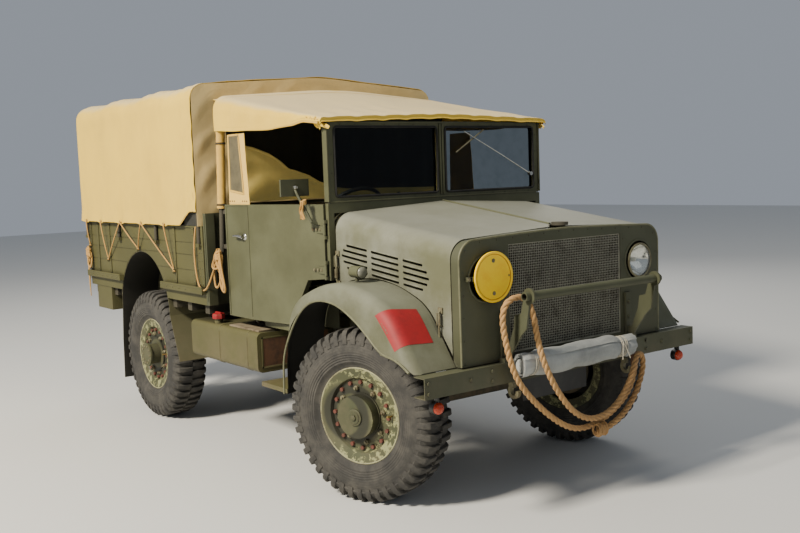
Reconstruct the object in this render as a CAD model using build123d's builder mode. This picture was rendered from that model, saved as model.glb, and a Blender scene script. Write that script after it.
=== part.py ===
from build123d import *
import os
from math import atan2, cos, degrees, radians, sin, sqrt, tan

# A four wheeled military cargo truck of the 15 hundredweight class, with a canvas tilt.
# Frame: +X forward, +Y to the truck's left, +Z up, millimetres.
# The origin is on the ground, under the middle of the truck.

os.makedirs("parts", exist_ok=True)

# Driving dimensions
axle_front = 1340
wheelbase = 2515
axle_rear = axle_front - wheelbase
tyre_radius = 455
tyre_width = 240
rim_lip = 250
track_half = 795
kingpin_half = 678
steer_rest = 18

# Chassis frame
rail_outer = 400
rail_top = 780
rail_depth = 140
rail_flange = 55
rail_web = 6
rail_front_x = 1986
rail_rear_x = -2200

# Front end
bumper_x = 2088
bumper_half = 977
bumper_low = 665
bumper_high = 764
nose_x = 2050
nose_depth = 60
nose_half = 720
nose_low = 769
nose_side_top = 1362
nose_crown = 1386
nose_corner = 95
grille_half = 407
grille_low = 800
grille_top = 1329
cap_x = 2003
lamp_y = 556
lamp_z = 1176

# Bonnet, from the scuttle to the nose
bonnet_rear_x = 1082
bonnet_front_x = nose_x - nose_depth - 6
bonnet_rear_half = 758
bonnet_front_half = 720
hinge_rear_z = 1522
hinge_front_z = 1394
sheet = 4

# Cab
cab_rear_x = 60
cab_floor = 850
door_top = 1536
door_half = 890
door_front_x = 1040
door_front_half = 805
screen_x = 1062
screen_half = 784
screen_low = 1541
screen_top = 1980

# Cargo body and tilt
body_front_x = -180
body_rear_x = -2250
body_half = 926
ledge_half = 958
ledge_top = 1008
floor_top = 935
side_top = 1400
arch_x = -1195
arch_z = 773
arch_radius = 430
tilt_half = 958
tilt_low = 1388
tilt_eave = 2290
tilt_ridge = 2362
tilt_skin = 6
hoop_places = [-222, -890, -1570, -2228]
hoop_foot = 1290
hoop_radius = 12


def write(piece, label):
    """Name one finished piece and write it as its own file."""
    piece.part.label = label
    export_step(piece.part, f"parts/{label}.step")


def side_plane(y):
    """A plane at one Y, drawn in X and Z, whose extrusions run towards -Y."""
    return Plane.XZ.offset(-y)


def mirrored(piece, label):
    """Write the left hand copy of a right hand piece."""
    with BuildPart() as other:
        mirror(piece.part, about=Plane.XZ)
    write(other, label)


# Chassis frame: two channel rails joined by cross members, with a runner on each under the body
runner_height = 54
runner_length = 2040
runner_middle_x = -1211
cross_members = [  # middle in X, low Z, high Z
    (1945, 660, 760),
    (560, 704, 770),
    (-330, 650, 770),
    (-1175, 690, 770),
    (-2165, 650, 770),
]
with BuildPart() as chassis_frame:
    for side in (-1, 1):
        web_y = side * rail_outer
        tip_y = side * (rail_outer - rail_flange)
        skin_y = side * (rail_outer - rail_web)
        with BuildSketch(Plane.YZ.offset(rail_rear_x)):
            with BuildLine():
                Polyline(
                    (web_y, rail_top),
                    (tip_y, rail_top),
                    (tip_y, rail_top - rail_web),
                    (skin_y, rail_top - rail_web),
                    (skin_y, rail_top - rail_depth + rail_web),
                    (tip_y, rail_top - rail_depth + rail_web),
                    (tip_y, rail_top - rail_depth),
                    (web_y, rail_top - rail_depth),
                    close=True,
                )
            make_face()
        extrude(amount=rail_front_x - rail_rear_x)
    for middle_x, low_z, high_z in cross_members:
        with Locations((middle_x, 0, (low_z + high_z) / 2)):
            Box(70, 2 * (rail_outer - rail_web), high_z - low_z)
    for side in (-1, 1):
        with Locations((runner_middle_x, side * 372, rail_top + runner_height / 2)):
            Box(runner_length, 56, runner_height)
write(chassis_frame, "chassis_frame")

# Front bumper: a channel with its back open, on two irons in front of the rails
bumper_depth = 78
bumper_skin = 5
with BuildPart() as front_bumper:
    with BuildSketch(Plane.XZ.offset(-bumper_half)):
        with BuildLine():
            Polyline(
                (bumper_x - bumper_depth, bumper_high),
                (bumper_x, bumper_high),
                (bumper_x, bumper_low),
                (bumper_x - bumper_depth, bumper_low),
                (bumper_x - bumper_depth, bumper_low + bumper_skin),
                (bumper_x - bumper_skin, bumper_low + bumper_skin),
                (bumper_x - bumper_skin, bumper_high - bumper_skin),
                (bumper_x - bumper_depth, bumper_high - bumper_skin),
                close=True,
            )
        make_face()
    extrude(amount=2 * bumper_half)
    iron_length = bumper_x - bumper_skin - rail_front_x
    for side in (-1, 1):
        with Locations((rail_front_x + iron_length / 2, side * 372, (bumper_low + bumper_high) / 2)):
            Box(iron_length, 50, bumper_high - bumper_low - 2 * bumper_skin)
write(front_bumper, "front_bumper")

# Guard tube across the grille, on two shaped plates that stand on the bumper
guard_x = 2236
guard_z = 1097
guard_half = 490
guard_radius = 21
bracket_y = 455
bracket_skin = 12
with BuildPart() as guard_bar:
    with BuildSketch(Plane.XZ.offset(-guard_half)):
        with Locations((guard_x, guard_z)):
            Circle(guard_radius)
            Circle(guard_radius - 5, mode=Mode.SUBTRACT)
    extrude(amount=2 * guard_half)
    for side in (-1, 1):
        with BuildSketch(side_plane(side * bracket_y + bracket_skin / 2)):
            with BuildLine():
                Polyline(
                    (bumper_x, bumper_high + 22),
                    (bumper_x + 6, bumper_high + 22),
                    (bumper_x + 92, 905),
                    (bumper_x + 128, 940),
                    (guard_x + 4, guard_z - 30),
                    (guard_x - 34, guard_z - 12),
                    (bumper_x + 92, 1010),
                    (bumper_x + 52, 1000),
                    (bumper_x + 40, 930),
                    (bumper_x - 6, 820),
                    close=True,
                )
            make_face()
            with Locations((guard_x, guard_z)):
                Circle(38)
            with Locations((guard_x, guard_z)):
                Circle(guard_radius - 1, mode=Mode.SUBTRACT)
        extrude(amount=bracket_skin)
        with Locations((bumper_x - 18, side * bracket_y, bumper_high + 11)):
            Box(36, 60, 22)
        with Locations((bumper_x - 12, side * bracket_y, 800)):
            Box(24, bracket_skin, 60)
        with Locations((nose_x + 7, side * bracket_y, 890)):
            Box(14, 44, 242)
        with Locations((nose_x + 20, side * bracket_y, 800)):
            Box(28, bracket_skin, 60)
write(guard_bar, "guard_bar")

# Tow hooks below the bumper and a towing hook on the rear cross member
hook_y = 415
hook_x = 2062
hook_z = 615
with BuildPart() as tow_hooks:
    for side in (-1, 1):
        with BuildSketch(side_plane(side * hook_y + 11)):
            with BuildLine():
                Polyline(
                    (hook_x - 14, bumper_low),
                    (hook_x + 14, bumper_low),
                    (hook_x + 14, hook_z + 26),
                    (hook_x - 14, hook_z + 26),
                    close=True,
                )
            make_face()
            with Locations((hook_x + 16, hook_z)):
                Circle(36)
            with Locations((hook_x + 16, hook_z)):
                Circle(18, mode=Mode.SUBTRACT)
            with Locations((hook_x + 40, hook_z + 22)):
                Rectangle(44, 34, mode=Mode.SUBTRACT)
        extrude(amount=22)
    with BuildSketch(Plane.XY.offset(690)):
        with Locations((rail_rear_x - 30, 0)):
            Circle(44)
            Circle(20, mode=Mode.SUBTRACT)
        with Locations((rail_rear_x + 20, 0)):
            Rectangle(40, 100, mode=Mode.SUBTRACT)
    extrude(amount=40)
    with Locations((rail_rear_x - 4, 0, 710)):
        Box(8, 110, 110)
write(tow_hooks, "tow_hooks")

# Blank number plate under the bumper
plate_x = bumper_x - 52
plate_y = -90
plate_z = 600
plate_height = 110
with BuildPart() as number_plate:
    with Locations((plate_x, plate_y, plate_z)):
        Box(4, 460, plate_height)
    with Locations((plate_x - 4, plate_y, plate_z + plate_height / 2 + 3)):
        Box(12, 120, 14)
write(number_plate, "number_plate")


def nose_line(inset):
    """Draw the nose outline, moved inwards all round, in the open line context."""
    half = nose_half - inset
    shoulder = nose_side_top - inset
    corner = nose_corner - inset
    bend = corner * sin(radians(45))
    bottom = Line((-half, nose_low + inset), (half, nose_low + inset))
    left = Line(bottom @ 1, (half, shoulder - corner))
    turn = ThreePointArc(
        left @ 1,
        (half - corner + bend, shoulder - corner + bend),
        (half - corner, shoulder),
    )
    crown = ThreePointArc(turn @ 1, (0, nose_crown - inset), (corner - half, shoulder))
    other_turn = ThreePointArc(
        crown @ 1,
        (corner - half - bend, shoulder - corner + bend),
        (-half, shoulder - corner),
    )
    Line(other_turn @ 1, bottom @ 0)


# Nose panel: a crowned face with a return all round, two lamp bowls and the radiator cap
with BuildPart() as nose_panel:
    with BuildSketch(Plane.YZ.offset(nose_x - nose_depth)):
        with BuildLine():
            nose_line(0)
        make_face()
    extrude(amount=nose_depth)
    with BuildSketch(Plane.YZ.offset(nose_x - nose_depth)):
        with BuildLine():
            nose_line(sheet)
        make_face()
    extrude(amount=nose_depth - sheet, mode=Mode.SUBTRACT)
    with BuildSketch(Plane.YZ.offset(nose_x - sheet)):
        with Locations((0, (grille_low + grille_top) / 2)):
            Rectangle(2 * grille_half, grille_top - grille_low)
        with Locations((-lamp_y, lamp_z), (lamp_y, lamp_z)):
            Circle(108)
    extrude(amount=sheet, mode=Mode.SUBTRACT)
    for side in (-1, 1):
        with BuildSketch(Plane.YZ.offset(nose_x - 92)):
            with Locations((side * lamp_y, lamp_z)):
                Circle(112)
        extrude(amount=90)
        with BuildSketch(Plane.YZ.offset(nose_x - 88)):
            with Locations((side * lamp_y, lamp_z)):
                Circle(108)
        extrude(amount=88, mode=Mode.SUBTRACT)
    with Locations((cap_x, 0, nose_crown)):
        Cylinder(31, 60, mode=Mode.SUBTRACT)
write(nose_panel, "nose_panel")

# Grille mesh, a screen of square openings in a thin frame behind the nose opening
mesh_columns = 16
mesh_rows = 12
mesh_bar = 7
mesh_frame = 18
mesh_height = grille_top - grille_low
with BuildPart() as grille_mesh:
    with BuildSketch(Plane.YZ.offset(nose_x - sheet - 6)):
        with Locations((0, (grille_low + grille_top) / 2)):
            Rectangle(2 * grille_half + 24, mesh_height + 24)
            pitch_y = (2 * grille_half - 2 * mesh_frame) / mesh_columns
            pitch_z = (mesh_height - 2 * mesh_frame) / mesh_rows
            with GridLocations(pitch_y, pitch_z, mesh_columns, mesh_rows):
                Rectangle(pitch_y - mesh_bar, pitch_z - mesh_bar, mode=Mode.SUBTRACT)
    extrude(amount=6)
write(grille_mesh, "grille_mesh")

# Radiator behind the grille, standing on the front cross member, with its filler neck and cap
core_x = 1945
core_half = 395
core_low = 785
core_height = 510
top_tank_height = 60
with BuildPart() as radiator_core:
    with Locations((core_x, 0, core_low + core_height / 2)):
        Box(70, 2 * core_half, core_height)
    with Locations((core_x + 20, 0, core_low + core_height + top_tank_height / 2 - 10)):
        Box(130, 2 * core_half - 20, top_tank_height)
    with Locations((core_x, 0, core_low - 10)):
        Box(90, 640, 30)
    with Locations((cap_x, 0, nose_crown - 11)):
        Cylinder(26, 62)
    with Locations((cap_x, 0, nose_crown + 20)):
        Cylinder(43, 16)
write(radiator_core, "radiator_core")

# Left head lamp, a round shell with a domed lens, held in its bowl
with BuildPart() as head_lamp:
    with BuildSketch(Plane.XZ.offset(-lamp_y)):
        with BuildLine():
            Polyline(
                (nose_x - 88, lamp_z),
                (nose_x - 88, lamp_z + 30),
                (nose_x - 40, lamp_z + 78),
                (nose_x - 6, lamp_z + 86),
                (nose_x + 8, lamp_z + 82),
                (nose_x + 15, lamp_z + 50),
                (nose_x + 20, lamp_z),
                close=True,
            )
        make_face()
    revolve(axis=Axis((0, lamp_y, lamp_z), (1, 0, 0)))
write(head_lamp, "head_lamp")

# Bridge classification disc, blank, on a bar across the right lamp bowl
disc_radius = 122
with BuildPart() as class_disc:
    with BuildSketch(Plane.YZ.offset(nose_x + 22)):
        with Locations((-lamp_y + 26, lamp_z + 8)):
            Circle(disc_radius)
    extrude(amount=4)
    with BuildSketch(Plane.YZ.offset(nose_x + 26)):
        with Locations((-lamp_y + 26, lamp_z + 8)):
            Circle(disc_radius)
            Circle(disc_radius - 12, mode=Mode.SUBTRACT)
    extrude(amount=5)
    for side in (-1, 1):
        with Locations((nose_x + 11, -lamp_y + side * 118, lamp_z + 8)):
            Box(22, 26, 22)
    with Locations((nose_x + 19, -lamp_y, lamp_z + 8)):
        Box(6, 262, 22)
write(class_disc, "class_disc")

# Direction lamps under the bumper's ends and side lamps on the wings
indicator_y = 880
indicator_z = 609
indicator_radius = 29
with BuildPart() as indicator_lamps:
    for side in (-1, 1):
        with Locations((bumper_x - 38, side * indicator_y, indicator_z + 31)):
            Box(30, 8, 50)
        with BuildSketch(Plane.YZ.offset(bumper_x - 60)):
            with Locations((side * indicator_y, indicator_z)):
                Circle(indicator_radius + 1)
        extrude(amount=30)
        with Locations((bumper_x - 30, side * indicator_y, indicator_z)):
            Sphere(indicator_radius)
write(indicator_lamps, "indicator_lamps")

side_lamp_x = 1400
side_lamp_y = 846
side_lamp_z = 1196
side_lamp_length = 70
side_lamp_radius = 30
with BuildPart() as side_lamps:
    for side in (-1, 1):
        with BuildSketch(Plane.YZ.offset(side_lamp_x - 40)):
            with Locations((side * side_lamp_y, side_lamp_z)):
                Circle(side_lamp_radius)
        extrude(amount=side_lamp_length)
        with BuildSketch(Plane.YZ.offset(side_lamp_x - 40 + side_lamp_length)):
            with Locations((side * side_lamp_y, side_lamp_z)):
                Circle(side_lamp_radius + 3)
        extrude(amount=12)
        with Locations((side_lamp_x - 5, side * side_lamp_y, side_lamp_z - side_lamp_radius - 3.5)):
            Cylinder(9, 28)
write(side_lamps, "side_lamps")

# Front wings: a band that arches over the wheel, its outer edge rounded over and turned down
wing_outer = 988
wing_inner = 726
wing_turn = 68
wing_crown = [  # X, Z of the corners of the top line, from the bumper to the rear foot
    (2012, 770),
    (1809, 1046),
    (1539, 1145),
    (1245, 1145),
    (926, 1024),
    (842, 720),
    (830, 460),
]
wing_bends = [300, 800, 800, 260, 700]
wing_foot_z = 495


def crown_line(lift):
    """Draw the wing's top line, moved away from the wheel's centre by the lift."""
    points = []
    for x, z in wing_crown:
        reach = sqrt((x - axle_front) ** 2 + (z - tyre_radius) ** 2)
        scale = (reach + lift) / reach
        points.append((axle_front + (x - axle_front) * scale, tyre_radius + (z - tyre_radius) * scale))
    return FilletPolyline(*points, radius=[bend + lift for bend in wing_bends])


def wing_block(lift, start_y):
    """A solid under the wing's top line, with its outer edge rounded over."""
    with BuildPart() as block:
        with BuildSketch(side_plane(start_y)):
            with BuildLine():
                line = crown_line(lift)
                Polyline(line @ 1, ((line @ 1).X, 400), ((line @ 0).X, 400), line @ 0)
            make_face()
        extrude(amount=wing_outer + lift + start_y)
        outer_face = block.faces().sort_by(Axis.Y)[0]
        crown_edges = outer_face.edges().filter_by(lambda edge: edge.center().Z > 590)
        fillet(crown_edges, wing_turn + lift)
    return block.part


wing_solid = wing_block(0, -wing_inner)
wing_hollow = wing_block(-sheet, -wing_inner + 20)
with BuildPart() as wing_right:
    add(wing_solid)
    add(wing_hollow, mode=Mode.SUBTRACT)
    with BuildSketch(side_plane(-wing_inner + 10)):
        with BuildLine():
            front_edge = Polyline((1995, 766), (1905, 824), (1771, 832))
            rise = ThreePointArc(front_edge @ 1, (1559, 979), (1285, 1055))
            fall = ThreePointArc(rise @ 1, (1061, 982), (862, 724))
            Polyline(fall @ 1, (846, 515), (846, 380), (2040, 380), (2040, 766), front_edge @ 0)
        make_face()
    extrude(amount=wing_outer - wing_inner + 40, mode=Mode.SUBTRACT)
    with Locations((axle_front, -870, wing_foot_z - 55)):
        Box(1400, 320, 110, mode=Mode.SUBTRACT)
with BuildPart() as front_wings:
    add(wing_right.part)
    mirror(wing_right.part, about=Plane.XZ)
write(front_wings, "front_wings")


def bonnet_section(half, shoulder, corner, hinge_z, low_z):
    """Draw one right hand section of the bonnet: a top, a round shoulder and a side."""
    gap = 10
    bend = corner * sin(radians(45))
    inner = corner - sheet
    inner_bend = inner * sin(radians(45))
    middle = half - corner
    Line((-gap, hinge_z), (-middle, shoulder))
    ThreePointArc(
        (-middle, shoulder),
        (-middle - bend, shoulder - corner + bend),
        (-half, shoulder - corner),
    )
    Polyline(
        (-half, shoulder - corner),
        (-half, low_z),
        (-half + sheet, low_z),
        (-half + sheet, shoulder - corner),
    )
    ThreePointArc(
        (-half + sheet, shoulder - corner),
        (-middle - inner_bend, shoulder - corner + inner_bend),
        (-middle, shoulder - sheet),
    )
    Line((-middle, shoulder - sheet), (-gap, hinge_z - sheet))
    Line((-gap, hinge_z - sheet), (-gap, hinge_z))


# Bonnet halves, each a top and a louvred side in one, hinged along the middle
louvre_pitch = 30
louvre_slope = -0.125
louvres = [  # first X, last X and row, counted down from the top
    (1172, 1350, 0),
    (1140, 1350, 1),
    (1126, 1350, 2),
    (1140, 1350, 3),
    (1172, 1350, 4),
    (1381, 1604, 0),
    (1381, 1604, 1),
    (1381, 1604, 2),
    (1381, 1604, 3),
    (1381, 1604, 4),
    (1636, 1786, 0),
    (1636, 1818, 1),
    (1636, 1832, 2),
    (1636, 1818, 3),
    (1636, 1786, 4),
]
with BuildPart() as bonnet_right:
    with BuildSketch(Plane.YZ.offset(bonnet_rear_x)):
        with BuildLine():
            bonnet_section(bonnet_rear_half, 1490, 105, hinge_rear_z, 830)
        make_face()
    with BuildSketch(Plane.YZ.offset(bonnet_front_x)):
        with BuildLine():
            bonnet_section(bonnet_front_half, 1368, 98, hinge_front_z, 790)
        make_face()
    loft(ruled=True)
    with BuildSketch(side_plane(-600)):
        with BuildLine():
            line_over_wing = crown_line(8)
            Polyline(line_over_wing @ 1, (820, 400), (2060, 400), line_over_wing @ 0)
        make_face()
    extrude(amount=300, mode=Mode.SUBTRACT)
    with BuildSketch(side_plane(-600)):
        for first_x, last_x, row in louvres:
            middle_x = (first_x + last_x) / 2
            slot_z = 1322 + louvre_slope * (middle_x - 1130) - row * louvre_pitch
            with Locations(Location((middle_x, slot_z, 0), (0, 0, degrees(atan2(louvre_slope, 1))))):
                SlotOverall(last_x - first_x, 13)
    extrude(amount=300, mode=Mode.SUBTRACT)
    with Locations((cap_x, 0, nose_crown)):
        Cylinder(57, 120, mode=Mode.SUBTRACT)
write(bonnet_right, "bonnet_right")
mirrored(bonnet_right, "bonnet_left")

# Scuttle: the bulkhead behind the engine, its cowl, the sill under the windscreen and the door pillars
hinge_x = 1051
hinge_y = 809
hinge_radius = 9
door_hinges = [1180, 1400]
cowl_depth = 44
cowl_step = 1138
cowl_low_half = 719
cowl_foot_step = 938
cowl_foot_half = 655


def cowl_line(inset):
    """Draw the scuttle outline, moved inwards: as wide as the bonnet, narrower between the wings."""
    half = bonnet_rear_half + 1 - inset
    low_half = cowl_low_half - inset
    foot_half = cowl_foot_half - inset
    top = 1490 - inset
    turn = 105 - inset
    bend = turn * sin(radians(45))
    Polyline(
        (half, top - turn),
        (half, cowl_step + inset),
        (low_half, cowl_step + inset),
        (low_half, cowl_foot_step + inset),
        (foot_half, cowl_foot_step + inset),
        (foot_half, cab_floor + 1 + inset),
        (-foot_half, cab_floor + 1 + inset),
        (-foot_half, cowl_foot_step + inset),
        (-low_half, cowl_foot_step + inset),
        (-low_half, cowl_step + inset),
        (-half, cowl_step + inset),
        (-half, top - turn),
    )
    ThreePointArc((-half, top - turn), (-half + turn - bend, top - turn + bend), (-half + turn, top))
    Polyline((-half + turn, top), (0, hinge_rear_z - inset), (half - turn, top))
    ThreePointArc((half - turn, top), (half - turn + bend, top - turn + bend), (half, top - turn))


with BuildPart() as scuttle:
    cowl_rear_x = bonnet_rear_x - 6 - cowl_depth
    with BuildSketch(Plane.YZ.offset(cowl_rear_x)):
        with BuildLine():
            cowl_line(0)
        make_face()
    extrude(amount=cowl_depth)
    with BuildSketch(Plane.YZ.offset(cowl_rear_x + 5)):
        with BuildLine():
            cowl_line(5)
        make_face()
    extrude(amount=cowl_depth - 5, mode=Mode.SUBTRACT)
    with Locations((screen_x, 0, 1516)):
        Box(28, 2 * 655, 2 * (screen_low - 1516))
    for side in (-1, 1):
        with Locations((screen_x, side * 777, 1333)):
            Box(28, 36, 2 * (screen_low - 1333))
        with Locations((screen_x, side * 705, 1514)):
            Box(28, 150, 2 * (screen_low - 1514))
        for hinge_z in door_hinges:
            for end in (-1, 1):
                with Locations((hinge_x, side * hinge_y, hinge_z + end * 42)):
                    Cylinder(hinge_radius, 18)
                with Locations((hinge_x + 6, side * (hinge_y - 8), hinge_z + end * 42)):
                    Box(12, 16, 18)
write(scuttle, "scuttle")

# Hinge rod between the bonnet halves, from the scuttle to a foot on the radiator
rod_radius = 7
rod_end_x = 1938
rod_fall = (hinge_rear_z - hinge_front_z) / (bonnet_front_x - bonnet_rear_x)
rod_slope = Vector(1, 0, -rod_fall)
with BuildPart() as bonnet_strip:
    with BuildSketch(Plane(origin=(bonnet_rear_x - 5, 0, hinge_rear_z + 5 * rod_fall), z_dir=rod_slope)):
        Circle(rod_radius)
    extrude(amount=(rod_end_x - bonnet_rear_x) * rod_slope.length)
    with Locations((rod_end_x - 8, 0, (1345 + hinge_rear_z - rod_fall * (rod_end_x - bonnet_rear_x)) / 2)):
        Box(12, 8, hinge_rear_z - rod_fall * (rod_end_x - bonnet_rear_x) - 1345)
write(bonnet_strip, "bonnet_strip")

# Cab floor with its toe boards beside the wings, its sills and its mounts on the rails
with BuildPart() as cab_tub:
    with BuildSketch(Plane.XY.offset(cab_floor - 6)):
        with BuildLine():
            Polyline(
                (cab_rear_x - 20, -850),
                (360, -850),
                (815, -792),
                (815, -716),
                (1000, -716),
                (1030, -670),
                (1030, 670),
                (1000, 716),
                (815, 716),
                (815, 792),
                (360, 850),
                (cab_rear_x - 20, 850),
                close=True,
            )
        make_face()
    extrude(amount=6)
    for side in (-1, 1):
        with Locations((600, side * 812, cab_floor - 22)):
            Box(420, 36, 32)
        with Locations((920, side * 719, 966)):
            Box(210, 6, 232)
        for mount_x in (340, 900):
            with Locations((mount_x, side * 372, 812)):
                Box(120, 50, 64)
write(cab_tub, "cab_tub")

# Cab back: a panel with a door post at each side
cab_back_half = 850
post_width = 28
with BuildPart() as cab_back:
    with Locations((cab_rear_x - 17, 0, (cab_floor + door_top + 4) / 2)):
        Box(6, 2 * cab_back_half, door_top + 4 - cab_floor)
    for side in (-1, 1):
        with Locations((cab_rear_x - 3, side * (cab_back_half - post_width / 2), (cab_floor + door_top - 6) / 2)):
            Box(34, post_width, door_top - 6 - cab_floor)
write(cab_back, "cab_back")

# Seat boxes on the cab floor
seat_x = 430
seat_y = 420
seat_box_height = 200
with BuildPart() as seat_boxes:
    for side in (-1, 1):
        with Locations((seat_x, side * seat_y, cab_floor + seat_box_height / 2)):
            Box(480, 460, seat_box_height)
write(seat_boxes, "seat_boxes")

# Seats: a cushion and a back for each side
seat_width = 440
cushion_thickness = 110
back_thickness = 90
back_lean = 10
seat_corner = 26
with BuildPart() as seats:
    for side in (-1, 1):
        with BuildSketch(side_plane(side * seat_y + seat_width / 2)):
            with Locations((seat_x + 10, cab_floor + seat_box_height + 1 + cushion_thickness / 2)):
                RectangleRounded(seat_width, cushion_thickness, seat_corner)
            with Locations(Location((196, 1330, 0), (0, 0, back_lean))):
                RectangleRounded(back_thickness, seat_width, seat_corner)
        extrude(amount=seat_width)
write(seats, "seats")

# Steering wheel and column, on the right
wheel_hub = (735, -420, 1440)
column_tilt = 38
column_length = 362
rim_radius = 225
with BuildPart() as steering_wheel:
    column_plane = Plane(
        origin=wheel_hub,
        x_dir=(0, 1, 0),
        z_dir=(-cos(radians(column_tilt)), 0, sin(radians(column_tilt))),
    )
    with BuildSketch(column_plane.offset(-8)):
        Circle(rim_radius)
        Circle(rim_radius - 18, mode=Mode.SUBTRACT)
        Circle(38)
        with PolarLocations(0, 4, start_angle=45):
            with Locations((120, 0)):
                Rectangle(190, 16)
    extrude(amount=16)
    with BuildSketch(column_plane):
        Circle(19)
    extrude(amount=-column_length)
write(steering_wheel, "steering_wheel")

# Windscreen frame with its middle post, and its two panes
frame_bar = 30
pane_half = 357
pane_z = (screen_low + screen_top) / 2
pane_height = screen_top - screen_low - 2 * frame_bar
with BuildPart() as windscreen_frame:
    with BuildSketch(Plane.YZ.offset(screen_x - 14)):
        with Locations((0, pane_z)):
            RectangleRounded(2 * screen_half, screen_top - screen_low, 22)
            with Locations((-screen_half / 2 + 6, 0), (screen_half / 2 - 6, 0)):
                Rectangle(2 * pane_half, pane_height, mode=Mode.SUBTRACT)
    extrude(amount=28)
write(windscreen_frame, "windscreen_frame")
with BuildPart() as windscreen_glass:
    for side in (-1, 1):
        with Locations((screen_x, side * (screen_half / 2 - 6), pane_z)):
            Box(5, 2 * pane_half, pane_height)
write(windscreen_glass, "windscreen_glass")

# Doors: thick panels that follow the cab's taper and are cut away over the wing
door_skin = 28
with BuildPart() as door_right:
    with BuildSketch(Plane.XY.offset(cab_floor + 4)):
        with BuildLine():
            Polyline(
                (cab_rear_x, -door_half),
                (350, -door_half),
                (door_front_x, -door_front_half),
                (door_front_x, -door_front_half + door_skin),
                (350, -door_half + door_skin),
                (cab_rear_x, -door_half + door_skin),
                close=True,
            )
        make_face()
    extrude(amount=door_top - cab_floor - 4)
    with BuildSketch(side_plane(-740)):
        with BuildLine():
            Polyline((800, 800), (800, 985), (885, 1118), (1060, 1134), (1060, 800), close=True)
        make_face()
    extrude(amount=200, mode=Mode.SUBTRACT)
    for hinge_z in door_hinges:
        with Locations((hinge_x, -hinge_y, hinge_z)):
            Cylinder(hinge_radius, 60)
        with Locations((hinge_x - 36, -hinge_y - 2, hinge_z)):
            Box(72, 8, 40)
    with Locations((300, -door_half - 12, 1345)):
        Box(16, 24, 16)
    with Locations((262, -door_half - 22, 1350)):
        Box(95, 8, 20)
write(door_right, "door_right")
mirrored(door_right, "door_left")

# Canvas side screens on the doors, each with a dark window strip
with BuildPart() as side_screen_right:
    with Locations((232, -door_half + 14, 1750)):
        Box(270, 10, 2 * (1750 - door_top))
write(side_screen_right, "side_screen_right")
mirrored(side_screen_right, "side_screen_left")

# Mirror on an arm from the right door
mirror_place = (903, -897, 1630)
with BuildPart() as mirror_arm:
    with Locations(mirror_place):
        Box(14, 176, 92)
    with BuildLine():
        arm = Polyline((1004, -826, 1430), (998, -856, 1444), (925, -897, 1600), mirror_place)
    with BuildSketch(Plane(origin=arm @ 0, z_dir=arm % 0)):
        Circle(8)
    sweep(transition=Transition.RIGHT)
write(mirror_arm, "mirror")

# Cab canopy: a canvas roof that falls from its hoop to the windscreen, closed at the front,
# with hems that rise towards the windscreen's corners and an apron back to the tilt
canopy_rear_x = -8
canopy_front_x = 1098
canopy_rear = (900, 1940, 2192, 2258, 88)  # half width, foot Z, eave Z, crown Z, corner radius
canopy_front = (836, 1940, 1998, 2022, 20)
canopy_hem = [  # X, Z of the hem along the side
    (-20, 1984),
    (270, 1970),
    (592, 1962),
    (814, 1976),
    (1010, 2000),
    (1062, 1996),
]


def canopy_line(section, inset):
    """Draw one section of the canopy, moved inwards, closed along its foot."""
    half, foot_z, eave_z, crown_z, corner = section
    roof = FilletPolyline(
        (half - inset, foot_z - inset),
        (half - inset, eave_z - inset),
        (0, crown_z - inset),
        (-half + inset, eave_z - inset),
        (-half + inset, foot_z - inset),
        radius=[corner - inset, 4000, corner - inset],
    )
    Line(roof @ 1, roof @ 0)


with BuildPart() as cab_canopy:
    for inset, mode in ((0, Mode.ADD), (tilt_skin, Mode.SUBTRACT)):
        with BuildSketch(Plane.YZ.offset(canopy_rear_x)):
            with BuildLine():
                canopy_line(canopy_rear, inset)
            make_face()
        with BuildSketch(Plane.YZ.offset(canopy_front_x - inset)):
            with BuildLine():
                canopy_line(canopy_front, inset)
            make_face()
        loft(ruled=True, mode=mode)
    with BuildSketch(Plane.XZ.offset(-1000)):
        with BuildLine():
            hem = Spline(*canopy_hem)
            Polyline(hem @ 1, (canopy_hem[-1][0], 1900), (canopy_hem[0][0], 1900), hem @ 0)
        make_face()
    extrude(amount=2000, mode=Mode.SUBTRACT)
    with BuildSketch(Plane.YZ.offset(body_front_x - 14)):
        with BuildLine():
            Polyline((-760, 2200), (0, 2256), (760, 2200), (760, 2194), (0, 2250), (-760, 2194), close=True)
        make_face()
    extrude(amount=canopy_rear_x + 12 - body_front_x + 14)
write(cab_canopy, "cab_canopy")

# Canopy hoop: a bent tube behind the cab that leans forward, on two brackets a side
canopy_tube_radius = 17
hoop_half = 870
canopy_lean = 4
with BuildPart() as canopy_hoop:
    lean_plane = Plane(
        origin=(-38, 0, 1240),
        x_dir=(0, 1, 0),
        z_dir=(cos(radians(canopy_lean)), 0, -sin(radians(canopy_lean))),
    )
    with BuildLine(lean_plane) as bow:
        FilletPolyline(
            (hoop_half, 0),
            (hoop_half, 908),
            (0, 972),
            (-hoop_half, 908),
            (-hoop_half, 0),
            radius=[74, 4000, 74],
        )
    with BuildSketch(Plane(origin=bow.line @ 0, z_dir=bow.line % 0)):
        Circle(canopy_tube_radius)
    sweep(path=bow.line)
    for side in (-1, 1):
        for bracket_z in (1275, 1490):
            with Locations((4, side * 855, bracket_z)):
                Box(72, 30, 26)
write(canopy_hoop, "canopy_hoop")

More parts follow.
